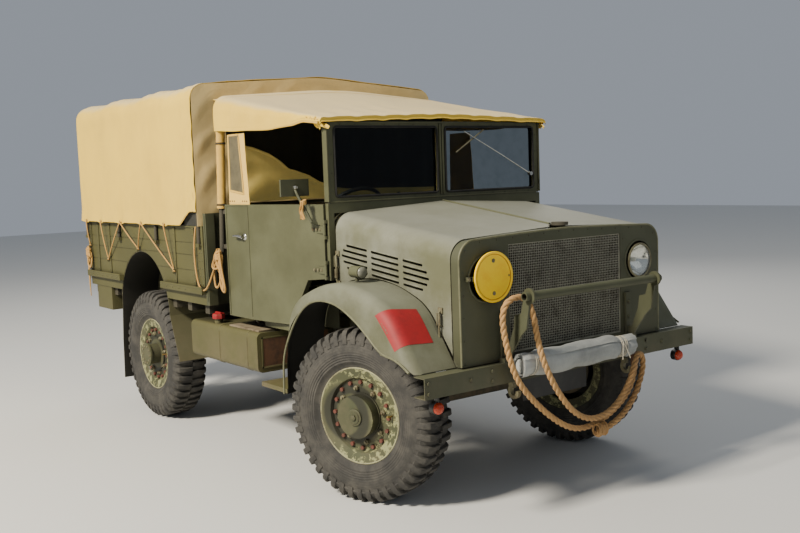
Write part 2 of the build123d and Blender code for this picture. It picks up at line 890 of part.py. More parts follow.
# Cargo body: floor with notches for the wheels, and the ledges along its sides
bearers = [-240, -500, -735, -1665, -1808, -2186]
notch_half = arch_radius + 8
with BuildPart() as cargo_floor:
    with Locations(((body_front_x + body_rear_x) / 2 + 4, 0, floor_top - 15)):
        Box(body_front_x - body_rear_x - 8, 2 * (body_half - 26), 30)
    for side in (-1, 1):
        with Locations((arch_x, side * 780, floor_top - 15)):
            Box(2 * notch_half, 2 * (780 - 634), 30, mode=Mode.SUBTRACT)
        for start_x, end_x in ((body_front_x - 2, arch_x + 368), (arch_x - 368, body_rear_x + 8)):
            with Locations(((start_x + end_x) / 2, side * (body_half + ledge_half) / 2, ledge_top - 20)):
                Box(start_x - end_x, ledge_half - body_half, 40)
write(cargo_floor, "cargo_floor")

# Bearers across the runners, under the floor
bearer_low = rail_top + runner_height
bearer_high = floor_top - 30
with BuildPart() as floor_bearers:
    for bearer_x in bearers:
        with Locations((bearer_x, 0, (bearer_low + bearer_high) / 2)):
            Box(60, 2 * (body_half - 30), bearer_high - bearer_low)
write(floor_bearers, "floor_bearers")

# Body sides: full length panels with a socket for each hoop, ribs and the wheel arches cut out
plank_seams = [1110, 1210, 1290]
with BuildPart() as side_panel:
    with BuildSketch(side_plane(-body_half + 24)):
        with BuildLine():
            Polyline(
                (body_front_x - 1, 896),
                (body_front_x - 1, side_top),
                (body_rear_x + 8, side_top),
                (body_rear_x + 8, 896),
                close=True,
            )
        make_face()
        with Locations((arch_x, arch_z)):
            Circle(arch_radius, mode=Mode.SUBTRACT)
    extrude(amount=24)
    for seam_z in plank_seams:
        with Locations(((body_front_x + body_rear_x) / 2, -body_half, seam_z)):
            Box(body_front_x - body_rear_x + 20, 5, 5, mode=Mode.SUBTRACT)
    for post_x in (-500, -880, -1260, -1640, -2010):
        with Locations((post_x, -body_half + 32, (1225 + side_top) / 2)):
            Box(44, 16, side_top - 1225)
    for hoop_x in hoop_places:
        with Locations((hoop_x, -body_half - 13, hoop_foot - 12)):
            Box(40, 26, 24)
with BuildPart() as body_sides:
    add(side_panel.part)
    mirror(side_panel.part, about=Plane.XZ)
write(body_sides, "body_sides")

# Headboard with its corner posts
with BuildPart() as headboard:
    with Locations((body_front_x + 10, 0, (896 + 1480) / 2)):
        Box(20, 2 * body_half, 1480 - 896)
    for side in (-1, 1):
        with Locations((body_front_x + 30, side * (body_half - 30), (896 + 1480) / 2)):
            Box(20, 60, 1480 - 896)
write(headboard, "headboard")

# Tailgate, hinged along its foot
with BuildPart() as tailgate:
    with Locations((body_rear_x - 13, 0, (floor_top + side_top) / 2)):
        Box(22, 2 * (body_half - 6), side_top - floor_top - 6)
    for barrel_y in (-600, 0, 600):
        with Locations(Location((body_rear_x - 2, barrel_y, floor_top + 3), (90, 0, 0))):
            Cylinder(7, 90)
write(tailgate, "tailgate")

# Rear mudguards: a box over each wheel, a sloping plate in front of it and a flap behind it
with BuildPart() as mudguard:
    with BuildSketch(side_plane(-640)):
        with Locations((arch_x, arch_z)):
            Circle(arch_radius - 1)
        with Locations((arch_x, arch_z - 300)):
            Rectangle(900, 600, mode=Mode.SUBTRACT)
    extrude(amount=body_half - 642)
    with BuildSketch(side_plane(-644)):
        with Locations((arch_x, arch_z)):
            Circle(arch_radius - 6)
    extrude(amount=body_half - 640, mode=Mode.SUBTRACT)
    with BuildSketch(side_plane(-640)):
        with BuildLine():
            Polyline(
                (arch_x + 429, 774),
                (arch_x + 424, 774),
                (-652, 470),
                (-646, 470),
                close=True,
            )
        make_face()
    extrude(amount=body_half - 642)
    with BuildSketch(side_plane(-640)):
        with BuildLine():
            Polyline(
                (arch_x - 429, 774),
                (arch_x - 424, 774),
                (arch_x - 455, 520),
                (arch_x - 470, 215),
                (arch_x - 475, 215),
                (arch_x - 460, 520),
                close=True,
            )
        make_face()
    extrude(amount=body_half - 642)
with BuildPart() as rear_mudguards:
    add(mudguard.part)
    mirror(mudguard.part, about=Plane.XZ)
write(rear_mudguards, "rear_mudguards")

# Outline of the tilt: upright sides, tight corners and a low ridge


def tilt_line(inset, foot_z):
    """Draw the tilt's outline, moved inwards, from one foot over the ridge to the other."""
    half = tilt_half - inset
    FilletPolyline(
        (half, foot_z),
        (half, tilt_eave - inset),
        (0, tilt_ridge - inset),
        (-half, tilt_eave - inset),
        (-half, foot_z),
        radius=[112 - inset, 1200 - inset, 112 - inset],
    )


# Tilt hoops: bent tubes that stand in the body's sockets and carry the canvas
hoop_inset = tilt_skin + hoop_radius + 1
with BuildPart() as tilt_hoops:
    for hoop_x in hoop_places:
        with BuildLine(Plane.YZ.offset(hoop_x)) as hoop:
            tilt_line(hoop_inset, hoop_foot)
        with BuildSketch(Plane(origin=hoop.line @ 0, z_dir=hoop.line % 0)):
            Circle(hoop_radius)
        sweep(path=hoop.line)
write(tilt_hoops, "tilt_hoops")

# Canvas tilt: closed roof and sides over the hoops, open at the back
tilt_front_x = body_front_x - 20
tilt_rear_x = -2272
with BuildPart() as tilt_canvas:
    with BuildSketch(Plane.YZ.offset(tilt_rear_x)):
        with BuildLine():
            tilt_line(0, tilt_low)
            Line((-tilt_half, tilt_low), (tilt_half, tilt_low))
        make_face()
    extrude(amount=tilt_front_x - tilt_rear_x)
    with BuildSketch(Plane.YZ.offset(tilt_rear_x)):
        with BuildLine():
            tilt_line(tilt_skin, tilt_low)
            Line((-tilt_half + tilt_skin, tilt_low), (tilt_half - tilt_skin, tilt_low))
        make_face()
    extrude(amount=tilt_front_x - tilt_rear_x - tilt_skin, mode=Mode.SUBTRACT)
    with BuildSketch(Plane.XZ.offset(-1200)):
        with BuildLine():
            Polyline((-452, tilt_low - 1), (-306, 1493), (-150, 1493), (-150, tilt_low - 1), close=True)
        make_face()
    extrude(amount=2400, mode=Mode.SUBTRACT)
write(tilt_canvas, "tilt_canvas")

# Fuel tank on the right, with a filler pipe and cap
tank_length = 880
tank_width = 532
tank_height = 236
tank_rear_x = -414
tank_y = 668
tank_z = 668
filler_x = -120
filler_y = 880
filler_foot = 780
filler_neck = 34
with BuildPart() as fuel_tank:
    with BuildSketch(Plane.YZ.offset(tank_rear_x)):
        with Locations((-tank_y, tank_z)):
            RectangleRounded(tank_width, tank_height, 34)
    extrude(amount=tank_length)
    with BuildSketch(Plane.XY.offset(filler_foot)):
        with Locations((filler_x, -filler_y)):
            Circle(26)
    extrude(amount=filler_neck)
    with BuildSketch(Plane.XY.offset(filler_foot + filler_neck)):
        with Locations((filler_x, -filler_y)):
            Circle(38)
    extrude(amount=28)
write(fuel_tank, "fuel_tank")

# Lockers: a long one on the left and one under each rear corner of the body
rear_locker_x = -1990
rear_locker_y = 830
rear_locker_z = 806
with BuildPart() as lockers:
    with Locations((tank_rear_x + tank_length / 2, tank_y, tank_z)):
        Box(tank_length, tank_width, tank_height)
    for side in (-1, 1):
        with Locations((rear_locker_x, side * rear_locker_y, rear_locker_z)):
            Box(300, 180, 176)
write(lockers, "lockers")

# Steps under the doors, each a board on two hangers
step_x = 630
step_y = 830
step_top = 505
step_hangers = [530, 730]
with BuildPart() as steps:
    for side in (-1, 1):
        with Locations((step_x, side * step_y, step_top - 13)):
            Box(290, 190, 26)
        for hanger_x in step_hangers:
            with Locations((hanger_x, side * 590, step_top - 23)):
                Box(36, 330, 8)
            with Locations((hanger_x, side * 430, step_top + 54)):
                Box(36, 8, 162)
            with Locations((hanger_x, side * 418, step_top + 131)):
                Box(36, 38, 8)
write(steps, "steps")

# Leaf springs, each a pack of leaves that shorten downwards, hung from the rails
springs = [  # middle X, half length, Z of the top leaf's middle, rise to its eyes
    (axle_front, 470, 545, 60),
    (axle_rear, 560, 556, 54),
]
leaf_thickness = 10
leaf_count = 5
spring_y = 372
with BuildPart() as leaf_springs:
    for spring_x, half, middle_z, rise in springs:
        for side in (-1, 1):
            for leaf in range(leaf_count):
                reach = half * (1 - 0.17 * leaf)
                lift = rise * (reach / half) ** 2
                with BuildSketch(side_plane(side * spring_y + 25)):
                    with BuildLine():
                        top_z = middle_z - leaf * leaf_thickness
                        under_z = top_z - leaf_thickness
                        upper = ThreePointArc(
                            (spring_x - reach, top_z + lift),
                            (spring_x, top_z),
                            (spring_x + reach, top_z + lift),
                        )
                        lower = ThreePointArc(
                            (spring_x + reach, under_z + lift),
                            (spring_x, under_z),
                            (spring_x - reach, under_z + lift),
                        )
                        Line(upper @ 1, lower @ 0)
                        Line(lower @ 1, upper @ 0)
                    make_face()
                extrude(amount=50)
            for end in (-1, 1):
                eye_x = spring_x + end * (half + 6)
                with BuildSketch(side_plane(side * spring_y + 25)):
                    with Locations((eye_x, middle_z + rise - 2)):
                        Circle(18)
                extrude(amount=50)
                with Locations((eye_x, side * spring_y, (middle_z + rise + 640) / 2)):
                    Box(22, 50, 640 - middle_z - rise)
write(leaf_springs, "leaf_springs")

# Front axle: a beam with an eye at each end for the kingpin
pin_radius = 14
with BuildPart() as front_axle:
    with Locations((axle_front, 0, 455)):
        Box(56, 2 * 650, 66)
    for side in (-1, 1):
        with Locations((axle_front, side * kingpin_half, 455)):
            Cylinder(38, 80)
            Cylinder(pin_radius + 1, 80, mode=Mode.SUBTRACT)
        with Locations((axle_front, side * spring_y, 491)):
            Box(110, 56, 8)
write(front_axle, "front_axle")

# Engine with its gearbox, one plain block between the rails
engine_x = 1490
engine_length = 640
gearbox_x = 960
gearbox_length = 420
with BuildPart() as engine_block:
    with Locations((engine_x, 0, 890)):
        Box(engine_length, 400, 600)
    with Locations((gearbox_x, 0, 720)):
        Box(gearbox_length, 260, 220)
write(engine_block, "engine_block")

# Rear axle: casing with the differential, brake back plates, stub shafts and the propeller shaft
plate_out = 738
brake_radius = 160
stub_radius = 20
shaft_rise = 190
with BuildPart() as rear_axle:
    with Locations(Location((axle_rear, 0, tyre_radius), (90, 0, 0))):
        Cylinder(48, 2 * plate_out)
        Cylinder(stub_radius, 2 * 800)
    with Locations((axle_rear, 0, tyre_radius)):
        Sphere(150)
    for side in (-1, 1):
        with Locations(Location((axle_rear, side * (plate_out - 4), tyre_radius), (90, 0, 0))):
            Cylinder(brake_radius, 6)
        with Locations((axle_rear, side * spring_y, 499)):
            Box(120, 56, 14)
    shaft_run = gearbox_x - gearbox_length / 2 - axle_rear - 140
    shaft_length = sqrt(shaft_run**2 + shaft_rise**2)
    shaft_plane = Plane(origin=(axle_rear + 130, 0, tyre_radius + 14), z_dir=(shaft_run, 0, shaft_rise))
    with BuildSketch(shaft_plane):
        Circle(34)
    extrude(amount=shaft_length)
write(rear_axle, "rear_axle")

# Exhaust: a silencer and its pipes, from the engine's left side to the back
exhaust_y = 222
exhaust_z = 570
exhaust_runs = [  # radius, front X, rear X
    (22, 1500, 40),
    (70, 40, -580),
    (22, -580, -2150),
]
with BuildPart() as exhaust:
    for radius, start_x, end_x in exhaust_runs:
        with BuildSketch(Plane.YZ.offset(end_x)):
            with Locations((exhaust_y, exhaust_z)):
                Circle(radius)
        extrude(amount=start_x - end_x)
write(exhaust, "exhaust")

# Rolled canvas muff tied along the bumper
roll_radius = 44
roll_length = 820
with BuildPart() as canvas_roll:
    with Locations(Location((bumper_x + roll_radius + 2, -30, bumper_high - 20), (90, 0, 0))):
        Cylinder(roll_radius, roll_length)
write(canvas_roll, "canvas_roll")

# Tow rope: from the left hook along under the bumper, over the right guard plate and back
rope_diameter = 32
rope_route = [  # X, Y, Z
    (2140, 408, 642),
    (2144, 385, 545),
    (2150, 282, 452),
    (2152, 120, 382),
    (2152, -60, 366),
    (2150, -220, 448),
    (2148, -400, 606),
    (2144, -486, 730),
    (2142, -540, 930),
    (2150, -548, 1040),
    (2158, -500, 1086),
    (2164, -416, 1086),
    (2172, -372, 1010),
    (2192, -368, 890),
    (2212, -350, 770),
    (2214, -268, 620),
    (2206, -140, 478),
    (2200, 10, 414),
    (2196, 170, 446),
    (2188, 296, 548),
    (2172, 372, 662),
    (2152, 420, 702),
    (2144, 474, 664),
    (2146, 452, 560),
    (2166, 350, 448),
    (2180, 210, 368),
    (2178, 60, 330),
]


def cord_bends(route):
    """The bend radius at each inner point: as wide as the shorter run beside it allows."""
    bends = []
    for before, corner, after in zip(route, route[1:], route[2:]):
        run_in = Vector(*corner) - Vector(*before)
        run_out = Vector(*after) - Vector(*corner)
        half_turn = radians(run_in.get_angle(run_out)) / 2
        bends.append(0.45 * min(run_in.length, run_out.length) / tan(half_turn))
    return bends


with BuildPart() as tow_rope:
    with BuildLine() as rope_line:
        FilletPolyline(*rope_route, radius=cord_bends(rope_route))
    with BuildSketch(Plane(origin=rope_line.line @ 0, z_dir=rope_line.line % 0)):
        Circle(rope_diameter / 2)
    sweep(path=rope_line.line)
print("rope bends", [round(bend) for bend in cord_bends(rope_route)], "length", round(rope_line.wires()[0].length))
write(tow_rope, "tow_rope")

# Knuckles: two ears round the axle's eye, the kingpin, a stub shaft, a back plate and an arm
arm_reach = 150
arm_z = 405
offset_out = track_half - kingpin_half
with BuildPart() as knuckle:
    for ear_z in (508, 402):
        with BuildSketch(Plane.XY.offset(ear_z - 8)):
            Circle(38)
            with Locations((0, -32)):
                Rectangle(64, 44)
        extrude(amount=16)
    with Locations((0, 0, tyre_radius)):
        Cylinder(pin_radius, 122)
    with Locations((0, -49, tyre_radius)):
        Box(64, 12, 122)
    with Locations(Location((0, -56, tyre_radius), (90, 0, 0))):
        Cylinder(brake_radius, 6)
    with Locations(Location((0, -(55 + 122) / 2, tyre_radius), (90, 0, 0))):
        Cylinder(stub_radius, 122 - 55)
    with Locations((-arm_reach / 2, 0, arm_z - 3)):
        Box(arm_reach, 26, 14)
    with Locations((-arm_reach, 0, arm_z - 3)):
        Cylinder(18, 14)

# Wheel: a rim with a bolted disc, the hub and the brake drum behind the disc
disc_face = -60
wheel_bolts = [  # circle, count, radius, height, first angle
    (172, 16, 9, 12, 0),
    (141, 8, 13, 16, 11),
]
with BuildPart() as wheel_disc:
    with BuildSketch(Plane.XY):
        with BuildLine():
            Polyline(
                (stub_radius + 2, 50),
                (150, 50),
                (150, disc_face + 12),
                (190, disc_face + 12),
                (196, 74),
                (243, 90),
                (rim_lip, 90),
                (rim_lip, 84),
                (210, 78),
                (203, 72),
                (203, -72),
                (210, -78),
                (rim_lip, -84),
                (rim_lip, -90),
                (243, -90),
                (196, -78),
                (186, disc_face),
                (118, disc_face),
                (118, disc_face - 8),
                (stub_radius + 2, disc_face - 8),
                close=True,
            )
        make_face()
    revolve(axis=Axis.Y)
    for bolt_circle, count, bolt_radius, height, turn in wheel_bolts:
        with BuildSketch(Plane.XZ.offset(-disc_face - 4)):
            with PolarLocations(bolt_circle, count, start_angle=turn):
                RegularPolygon(bolt_radius, 6)
        extrude(amount=height)

with BuildPart() as front_wheel:
    add(wheel_disc.part)
    with BuildSketch(Plane.XZ.offset(-disc_face + 7)):
        Circle(112)
    extrude(amount=56)
    with BuildSketch(Plane.XZ.offset(-disc_face + 63)):
        Circle(30)
    extrude(amount=12)

with BuildPart() as rear_wheel:
    add(wheel_disc.part)
    with BuildSketch(Plane.XZ.offset(-disc_face + 7)):
        Circle(72)
    extrude(amount=70)
    with BuildSketch(Plane.XZ.offset(-disc_face + 77)):
        Circle(84)
    extrude(amount=12)

# Tyre: a ring of rubber with two staggered rows of bars across its tread
tread_base = 438
bar_count = 36
bar_width = 30
with BuildPart() as tyre_ring:
    with BuildSketch(Plane.XY):
        with BuildLine():
            Polyline(
                (204, -71),
                (211, -77),
                (252, -83),
                (300, -110),
                (350, -tyre_width / 2),
                (404, -112),
                (tread_base, -92),
                (tread_base, 92),
                (404, 112),
                (350, tyre_width / 2),
                (300, 110),
                (252, 83),
                (211, 77),
                (204, 71),
                close=True,
            )
        make_face()
    revolve(axis=Axis.Y)
    for side, first_angle in ((-1, 0), (1, 180 / bar_count)):
        with BuildSketch(side_plane(0) if side < 0 else side_plane(106)):
            with PolarLocations((404 + tyre_radius) / 2, bar_count, start_angle=90 + first_angle):
                Rectangle(tyre_radius - 404, bar_width)
        extrude(amount=106)

# The four wheels, the front pair turned to the left with their knuckles
corners = [  # name, steered, X of the axle, side
    ("front_right", True, axle_front, -1),
    ("front_left", True, axle_front, 1),
    ("rear_right", False, axle_rear, -1),
    ("rear_left", False, axle_rear, 1),
]
for corner_name, steered, axle_x, side in corners:
    turn = steer_rest if steered else 0
    facing = turn + (0 if side < 0 else 180)
    pivot_y = side * kingpin_half
    reach_x = offset_out * sin(radians(turn)) * -side
    reach_y = side * offset_out * cos(radians(turn))
    centre = Location((axle_x + reach_x, pivot_y + reach_y, tyre_radius), (0, 0, facing))
    with BuildPart() as wheel:
        with Locations(centre):
            add(front_wheel.part if steered else rear_wheel.part)
    write(wheel, f"wheel_{corner_name}")
    with BuildPart() as tyre:
        with Locations(centre):
            add(tyre_ring.part)
    write(tyre, f"tyre_{corner_name}")

with BuildPart() as left_knuckle:
    mirror(knuckle.part, about=Plane.XZ)
for name, side, pattern in (("right", -1, knuckle), ("left", 1, left_knuckle)):
    with BuildPart() as placed_knuckle:
        with Locations(Location((axle_front, side * kingpin_half, 0), (0, 0, steer_rest))):
            add(pattern.part)
    write(placed_knuckle, f"knuckle_{name}")

# Tie rod below the two arms
rod_z = arm_z - 28
with BuildPart() as tie_rod:
    ball_x = axle_front - arm_reach * cos(radians(steer_rest))
    ball_shift = -arm_reach * sin(radians(steer_rest))
    with Locations(Location((ball_x, ball_shift, rod_z), (90, 0, 0))):
        Cylinder(13, 2 * kingpin_half)
    for side in (-1, 1):
        with Locations((ball_x, ball_shift + side * kingpin_half, rod_z + 2)):
            Cylinder(18, 28)
write(tie_rod, "tie_rod")
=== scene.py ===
# %% [markdown]
# # A small military cargo truck
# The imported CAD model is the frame. Everything below stands in the same axes: +X forward,
# +Y to the truck's left, +Z up, in metres, with the origin on the ground under the middle.

import math

import bmesh
import bpy
from mathutils import Matrix, Vector, noise as vnoise
from mathutils.bvhtree import BVHTree


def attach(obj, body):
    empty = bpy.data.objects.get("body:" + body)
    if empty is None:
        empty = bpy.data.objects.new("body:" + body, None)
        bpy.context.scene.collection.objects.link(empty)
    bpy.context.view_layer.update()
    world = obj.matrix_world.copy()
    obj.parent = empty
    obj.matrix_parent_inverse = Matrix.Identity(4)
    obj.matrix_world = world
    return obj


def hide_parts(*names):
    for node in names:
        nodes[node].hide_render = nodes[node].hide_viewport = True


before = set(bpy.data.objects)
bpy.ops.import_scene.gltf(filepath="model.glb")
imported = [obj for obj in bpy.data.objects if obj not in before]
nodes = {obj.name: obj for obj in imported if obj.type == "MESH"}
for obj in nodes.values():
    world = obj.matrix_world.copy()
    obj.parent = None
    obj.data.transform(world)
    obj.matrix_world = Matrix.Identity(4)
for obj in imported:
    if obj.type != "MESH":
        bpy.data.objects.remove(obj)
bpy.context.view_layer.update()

# %% [markdown]
# ## Camera
# The photograph is taken from the truck's front right, a little below the tilt's eaves.
# The place, the turn and the lens were solved from the wheelbase and the tyres.

# %% Camera
def linked(name, data):
    """A new object in the scene."""
    made = bpy.data.objects.new(name, data)
    bpy.context.scene.collection.objects.link(made)
    return made


CAMERA_PLACE = Vector((5.4750, -3.6454, 1.6849))
CAMERA_YAW = math.radians(142.987)
CAMERA_PITCH = math.radians(-5.418)
CAMERA_ROLL = math.radians(-2.022)
CAMERA_LENS = 43.90

forward = Vector((
    math.cos(CAMERA_PITCH) * math.cos(CAMERA_YAW),
    math.cos(CAMERA_PITCH) * math.sin(CAMERA_YAW),
    math.sin(CAMERA_PITCH),
))
right = forward.cross(Vector((0, 0, 1))).normalized()
up = right.cross(forward)
rolled_right = math.cos(CAMERA_ROLL) * right + math.sin(CAMERA_ROLL) * up
rolled_up = -math.sin(CAMERA_ROLL) * right + math.cos(CAMERA_ROLL) * up
camera_data = bpy.data.cameras.new("camera")
camera_data.lens = CAMERA_LENS
camera_data.sensor_width = 36.0
camera = linked("camera", camera_data)
camera.matrix_world = Matrix((
    (rolled_right.x, rolled_up.x, -forward.x, CAMERA_PLACE.x),
    (rolled_right.y, rolled_up.y, -forward.y, CAMERA_PLACE.y),
    (rolled_right.z, rolled_up.z, -forward.z, CAMERA_PLACE.z),
    (0, 0, 0, 1),
))
bpy.context.scene.camera = camera
print("camera at", [round(v, 2) for v in camera.matrix_world.translation])

# %% [markdown]
# ## Studio
# A plain pale floor, an even sky, one large soft lamp on the truck's right that grazes
# the nose as the photograph's sun does, and two weak ones in front and behind.

# %% Floor and lights
bpy.ops.mesh.primitive_plane_add(size=60, location=(0, 0, 0))
floor = bpy.context.object
floor.name = "studio_floor"
floor_material = bpy.data.materials.new("studio_floor")
floor_material.use_nodes = True
floor_shader = floor_material.node_tree.nodes["Principled BSDF"]
floor_shader.inputs["Base Color"].default_value = (0.62, 0.62, 0.60, 1)
floor_shader.inputs["Roughness"].default_value = 0.9
floor.data.materials.append(floor_material)

world = bpy.data.worlds.new("studio")
world.use_nodes = True
world.node_tree.nodes["Background"].inputs["Color"].default_value = (0.80, 0.88, 1.0, 1)
world.node_tree.nodes["Background"].inputs["Strength"].default_value = 0.36
bpy.context.scene.world = world

STUDIO_LAMPS = [  # name, energy, size, colour, place, aim
    ("key", 2850, 1.8, (1.0, 0.92, 0.77), (1.5, -9.2, 8.2), (0, 0, 1)),
    ("front", 25, 5.0, (1.0, 1.0, 1.0), (8.0, 1.0, 4.5), (1, 0, 1)),
    ("back", 260, 5.0, (1.0, 0.97, 0.90), (-6.0, 6.0, 6.0), (0, 0, 1)),
]
for lamp_name, energy, size, colour, place, aim in STUDIO_LAMPS:
    lamp_data = bpy.data.lights.new(lamp_name, "AREA")
    lamp_data.energy = energy
    lamp_data.size = size
    lamp_data.color = colour
    lamp = linked(lamp_name, lamp_data)
    lamp.location = place
    lamp.rotation_euler = (Vector(aim) - Vector(place)).to_track_quat("-Z", "Y").to_euler()
print(len(STUDIO_LAMPS), "lamps")

# %% [markdown]
# ## Finishes
# Every finish is a node material on Object coordinates, so its grain keeps its real size.
# The two classes below make the few nodes that all of them share.


# %% Colours and nodes
WHEEL_BASE, REAR_AXLE_X, AXLE_Z = 2.515, -1.175, 0.455


def srgb(red, green, blue):
    """A colour as a picture shows it, 0 to 255, turned into the shader's linear values."""
    return tuple(((v / 255 + 0.055) / 1.055) ** 2.4 if v > 10 else v / 3294 for v in (red, green, blue)) + (1,)


def add_node(tree, kind, inputs=None, **settings):
    """A node whose inputs are plain values or other nodes' outputs."""
    made = tree.nodes.new(kind)
    for key, value in settings.items():
        setattr(made, key, value)
    for key, value in (inputs or {}).items():
        if isinstance(value, bpy.types.NodeSocket):
            tree.links.new(value, made.inputs[key])
        else:
            made.inputs[key].default_value = value
    return made


# %% Layers of one material
class Layers:
    """One material: a base colour with other colours laid over it, and its relief."""

    def __init__(self, name, base, roughness=0.7, metallic=0.0):
        self.material = bpy.data.materials.new(name)
        self.material.use_nodes = True
        self.tree = self.material.node_tree
        self.shader = self.tree.nodes["Principled BSDF"]
        self.shader.inputs["Roughness"].default_value = roughness
        self.shader.inputs["Metallic"].default_value = metallic
        self.coords = self.node("ShaderNodeTexCoord").outputs["Object"]
        self.tint = self.colour(base)
        self.height = None

    def colour(self, value):
        return srgb(*value) if len(value) == 3 else value

    def node(self, kind, inputs=None, **settings):
        return add_node(self.tree, kind, inputs, **settings)

    def ramp(self, source, low, high, top=1.0):
        return self.node("ShaderNodeMapRange", {
            "Value": source, "From Min": low, "From Max": high, "To Max": top,
        }, interpolation_type="SMOOTHSTEP").outputs["Result"]

    def noise(self, scale, detail=4.0, rough=0.6, stretch=None):
        place = self.coords
        if stretch:
            place = self.node("ShaderNodeMapping", {"Vector": place, "Scale": stretch}).outputs["Vector"]
        return self.node("ShaderNodeTexNoise", {
            "Vector": place, "Scale": scale, "Detail": detail, "Roughness": rough,
        }).outputs["Fac"]

    def cloud(self, scale, detail, rough, low, high, top=1.0, stretch=None):
        """Patches of noise that lie between a low and a high bound."""
        return self.ramp(self.noise(scale, detail, rough, stretch), low, high, top)

    def maths(self, operation, *values):
        return self.node("ShaderNodeMath", dict(enumerate(values)), operation=operation).outputs[0]

    def dot(self, first, second):
        product = self.node("ShaderNodeVectorMath", {0: first, 1: second}, operation="DOT_PRODUCT")
        return product.outputs["Value"]

    def lay(self, colour, mask, share=None):
        """Lay a colour over what is there, where the mask is near 1."""
        factor = mask if share is None else self.maths("MULTIPLY", mask, share)
        sockets = {0: factor, 6: self.tint, 7: self.colour(colour)}
        self.tint = self.node("ShaderNodeMix", sockets, data_type="RGBA").outputs[2]

    def axes(self, source=None):
        return self.node("ShaderNodeSeparateXYZ", {0: source or self.coords}).outputs

    def bump(self, source, distance, strength=1.0):
        inputs = {"Distance": distance, "Strength": strength, "Height": source}
        if self.height:
            inputs["Normal"] = self.height
        self.height = self.node("ShaderNodeBump", inputs).outputs["Normal"]
        self.tree.links.new(self.height, self.shader.inputs["Normal"])

    def done(self):
        self.tree.links.new(self.tint, self.shader.inputs["Base Color"])
        return self.material


# %% What a finish can read off the truck: edges, hollows and the ways to the wheels
class Finish(Layers):
    """A material that also wears, gathers dirt and takes painted shade by where it is."""

    def normal(self):
        return self.node("ShaderNodeTexCoord").outputs["Normal"]

    def facing_up(self):
        return self.axes(self.normal())["Z"]

    def edges(self, radius):
        """Near 1 on sharp edges, where paint wears through."""
        bevel = self.node("ShaderNodeBevel", {"Radius": radius}, samples=4)
        flat = self.node("ShaderNodeNewGeometry")
        same = self.dot(bevel.outputs["Normal"], flat.outputs["Normal"])
        return self.ramp(self.maths("SUBTRACT", 1.0, same), 0.02, 0.25)

    def hollows(self, reach):
        """Near 1 where other faces stand close: inside the wheel arches and under the body, where paint is darkened
        as painted shade.
        """
        occlusion = self.node("ShaderNodeAmbientOcclusion", {"Distance": reach}, samples=6)
        return self.ramp(occlusion.outputs["AO"], 0.62, 0.18)

    def to_axle(self):
        """The way to the nearer axle, level with the truck's sides, and its length."""
        here = self.axes()
        at_front = self.maths("GREATER_THAN", here["X"], 0.1)
        axle_x = self.maths("ADD", self.maths("MULTIPLY", at_front, WHEEL_BASE), REAR_AXLE_X)
        way = self.node("ShaderNodeCombineXYZ", {
            "X": self.maths("SUBTRACT", axle_x, here["X"]), "Z": self.maths("SUBTRACT", AXLE_Z, here["Z"]),
        }).outputs[0]
        return way, self.node("ShaderNodeVectorMath", {0: way}, operation="LENGTH").outputs["Value"]

    def wheel_side(self):
        """1 on the faces of wings and mudguards that look at a wheel, which mud and painted shade keep nearly black.
        """
        way, length = self.to_axle()
        inward = self.ramp(self.maths("DIVIDE", self.dot(way, self.normal()), length), 0.25, 0.55)
        return self.maths("MULTIPLY", inward, self.ramp(length, 0.86, 0.78))


# %% [markdown]
# ## Paint
# Old brush painted olive: it fades to a grey chalk where the sun and rain reach it, keeps
# dust on its upper faces and mud low down, and has chips and rust along its edges. Painted
# shade darkens its hollows and each wheel's dish, and the faces of the arches that look at a
# wheel are nearly black with mud and painted shade.


# %% Paint
RUN_BROWN, DRY_MUD, BARE_EDGE, RUST = (74, 72, 50), (104, 92, 70), (58, 50, 38), (110, 62, 34)
# painted shade in each wheel's dish and in the hollows; mud and painted shade on the faces that look at a wheel
DISH_SHADE, HOLLOW_SHADE, ARCH_MUD_AND_SHADE = (30, 31, 20), (24, 23, 18), (20, 19, 17)


def painted(name, base, faded, mud=0.6, rust=0.35, fade=0.5, roughness=0.62, patches=None, arch=False):
    """Brush paint that fades above, and has runs, mud low down, bare edges, rust and painted shade in its hollows."""
    finish = Finish(name, base, roughness)
    finish.lay(faded, finish.cloud(2.3, 6, 0.65, 0.32, 0.72), fade)
    finish.lay(RUN_BROWN, finish.cloud(5.0, 5, 0.7, 0.42, 0.75, stretch=(1.0, 1.0, 0.18)), 0.28 * fade + 0.08)
    finish.lay(faded, finish.ramp(finish.facing_up(), 0.45, 0.98, 0.75), fade)
    finish.lay(DRY_MUD, finish.ramp(finish.axes()["Z"], 0.95, 0.30, mud), finish.cloud(7, 8, 0.7, 0.35, 0.65))
    finish.lay(BARE_EDGE, finish.edges(0.006), finish.cloud(38, 5, 0.6, 0.45, 0.62))
    finish.lay(RUST, finish.cloud(21, 6, 0.75, 0.70, 0.78, rust))
    if patches:  # the rim's flaked cream paint, and the shade in the wheel's dish
        radius = finish.to_axle()[1]
        finish.lay(patches, finish.cloud(26, 7, 0.72, 0.51, 0.55, 0.85), finish.ramp(radius, 0.165, 0.200))
        finish.lay(DISH_SHADE, finish.ramp(radius, 0.098, 0.112), finish.ramp(radius, 0.168, 0.150, 0.85))
    # painted shade: darker where other faces stand close
    finish.lay(HOLLOW_SHADE, finish.hollows(0.32), 0.88)
    # mud and painted shade on the faces that look at a wheel
    if arch:
        finish.lay(ARCH_MUD_AND_SHADE, finish.wheel_side(), 0.93)
    finish.bump(finish.noise(85, 3), 0.0006, 0.5)
    finish.bump(finish.noise(3.2, 2), 0.006, 0.35)
    return finish.done()


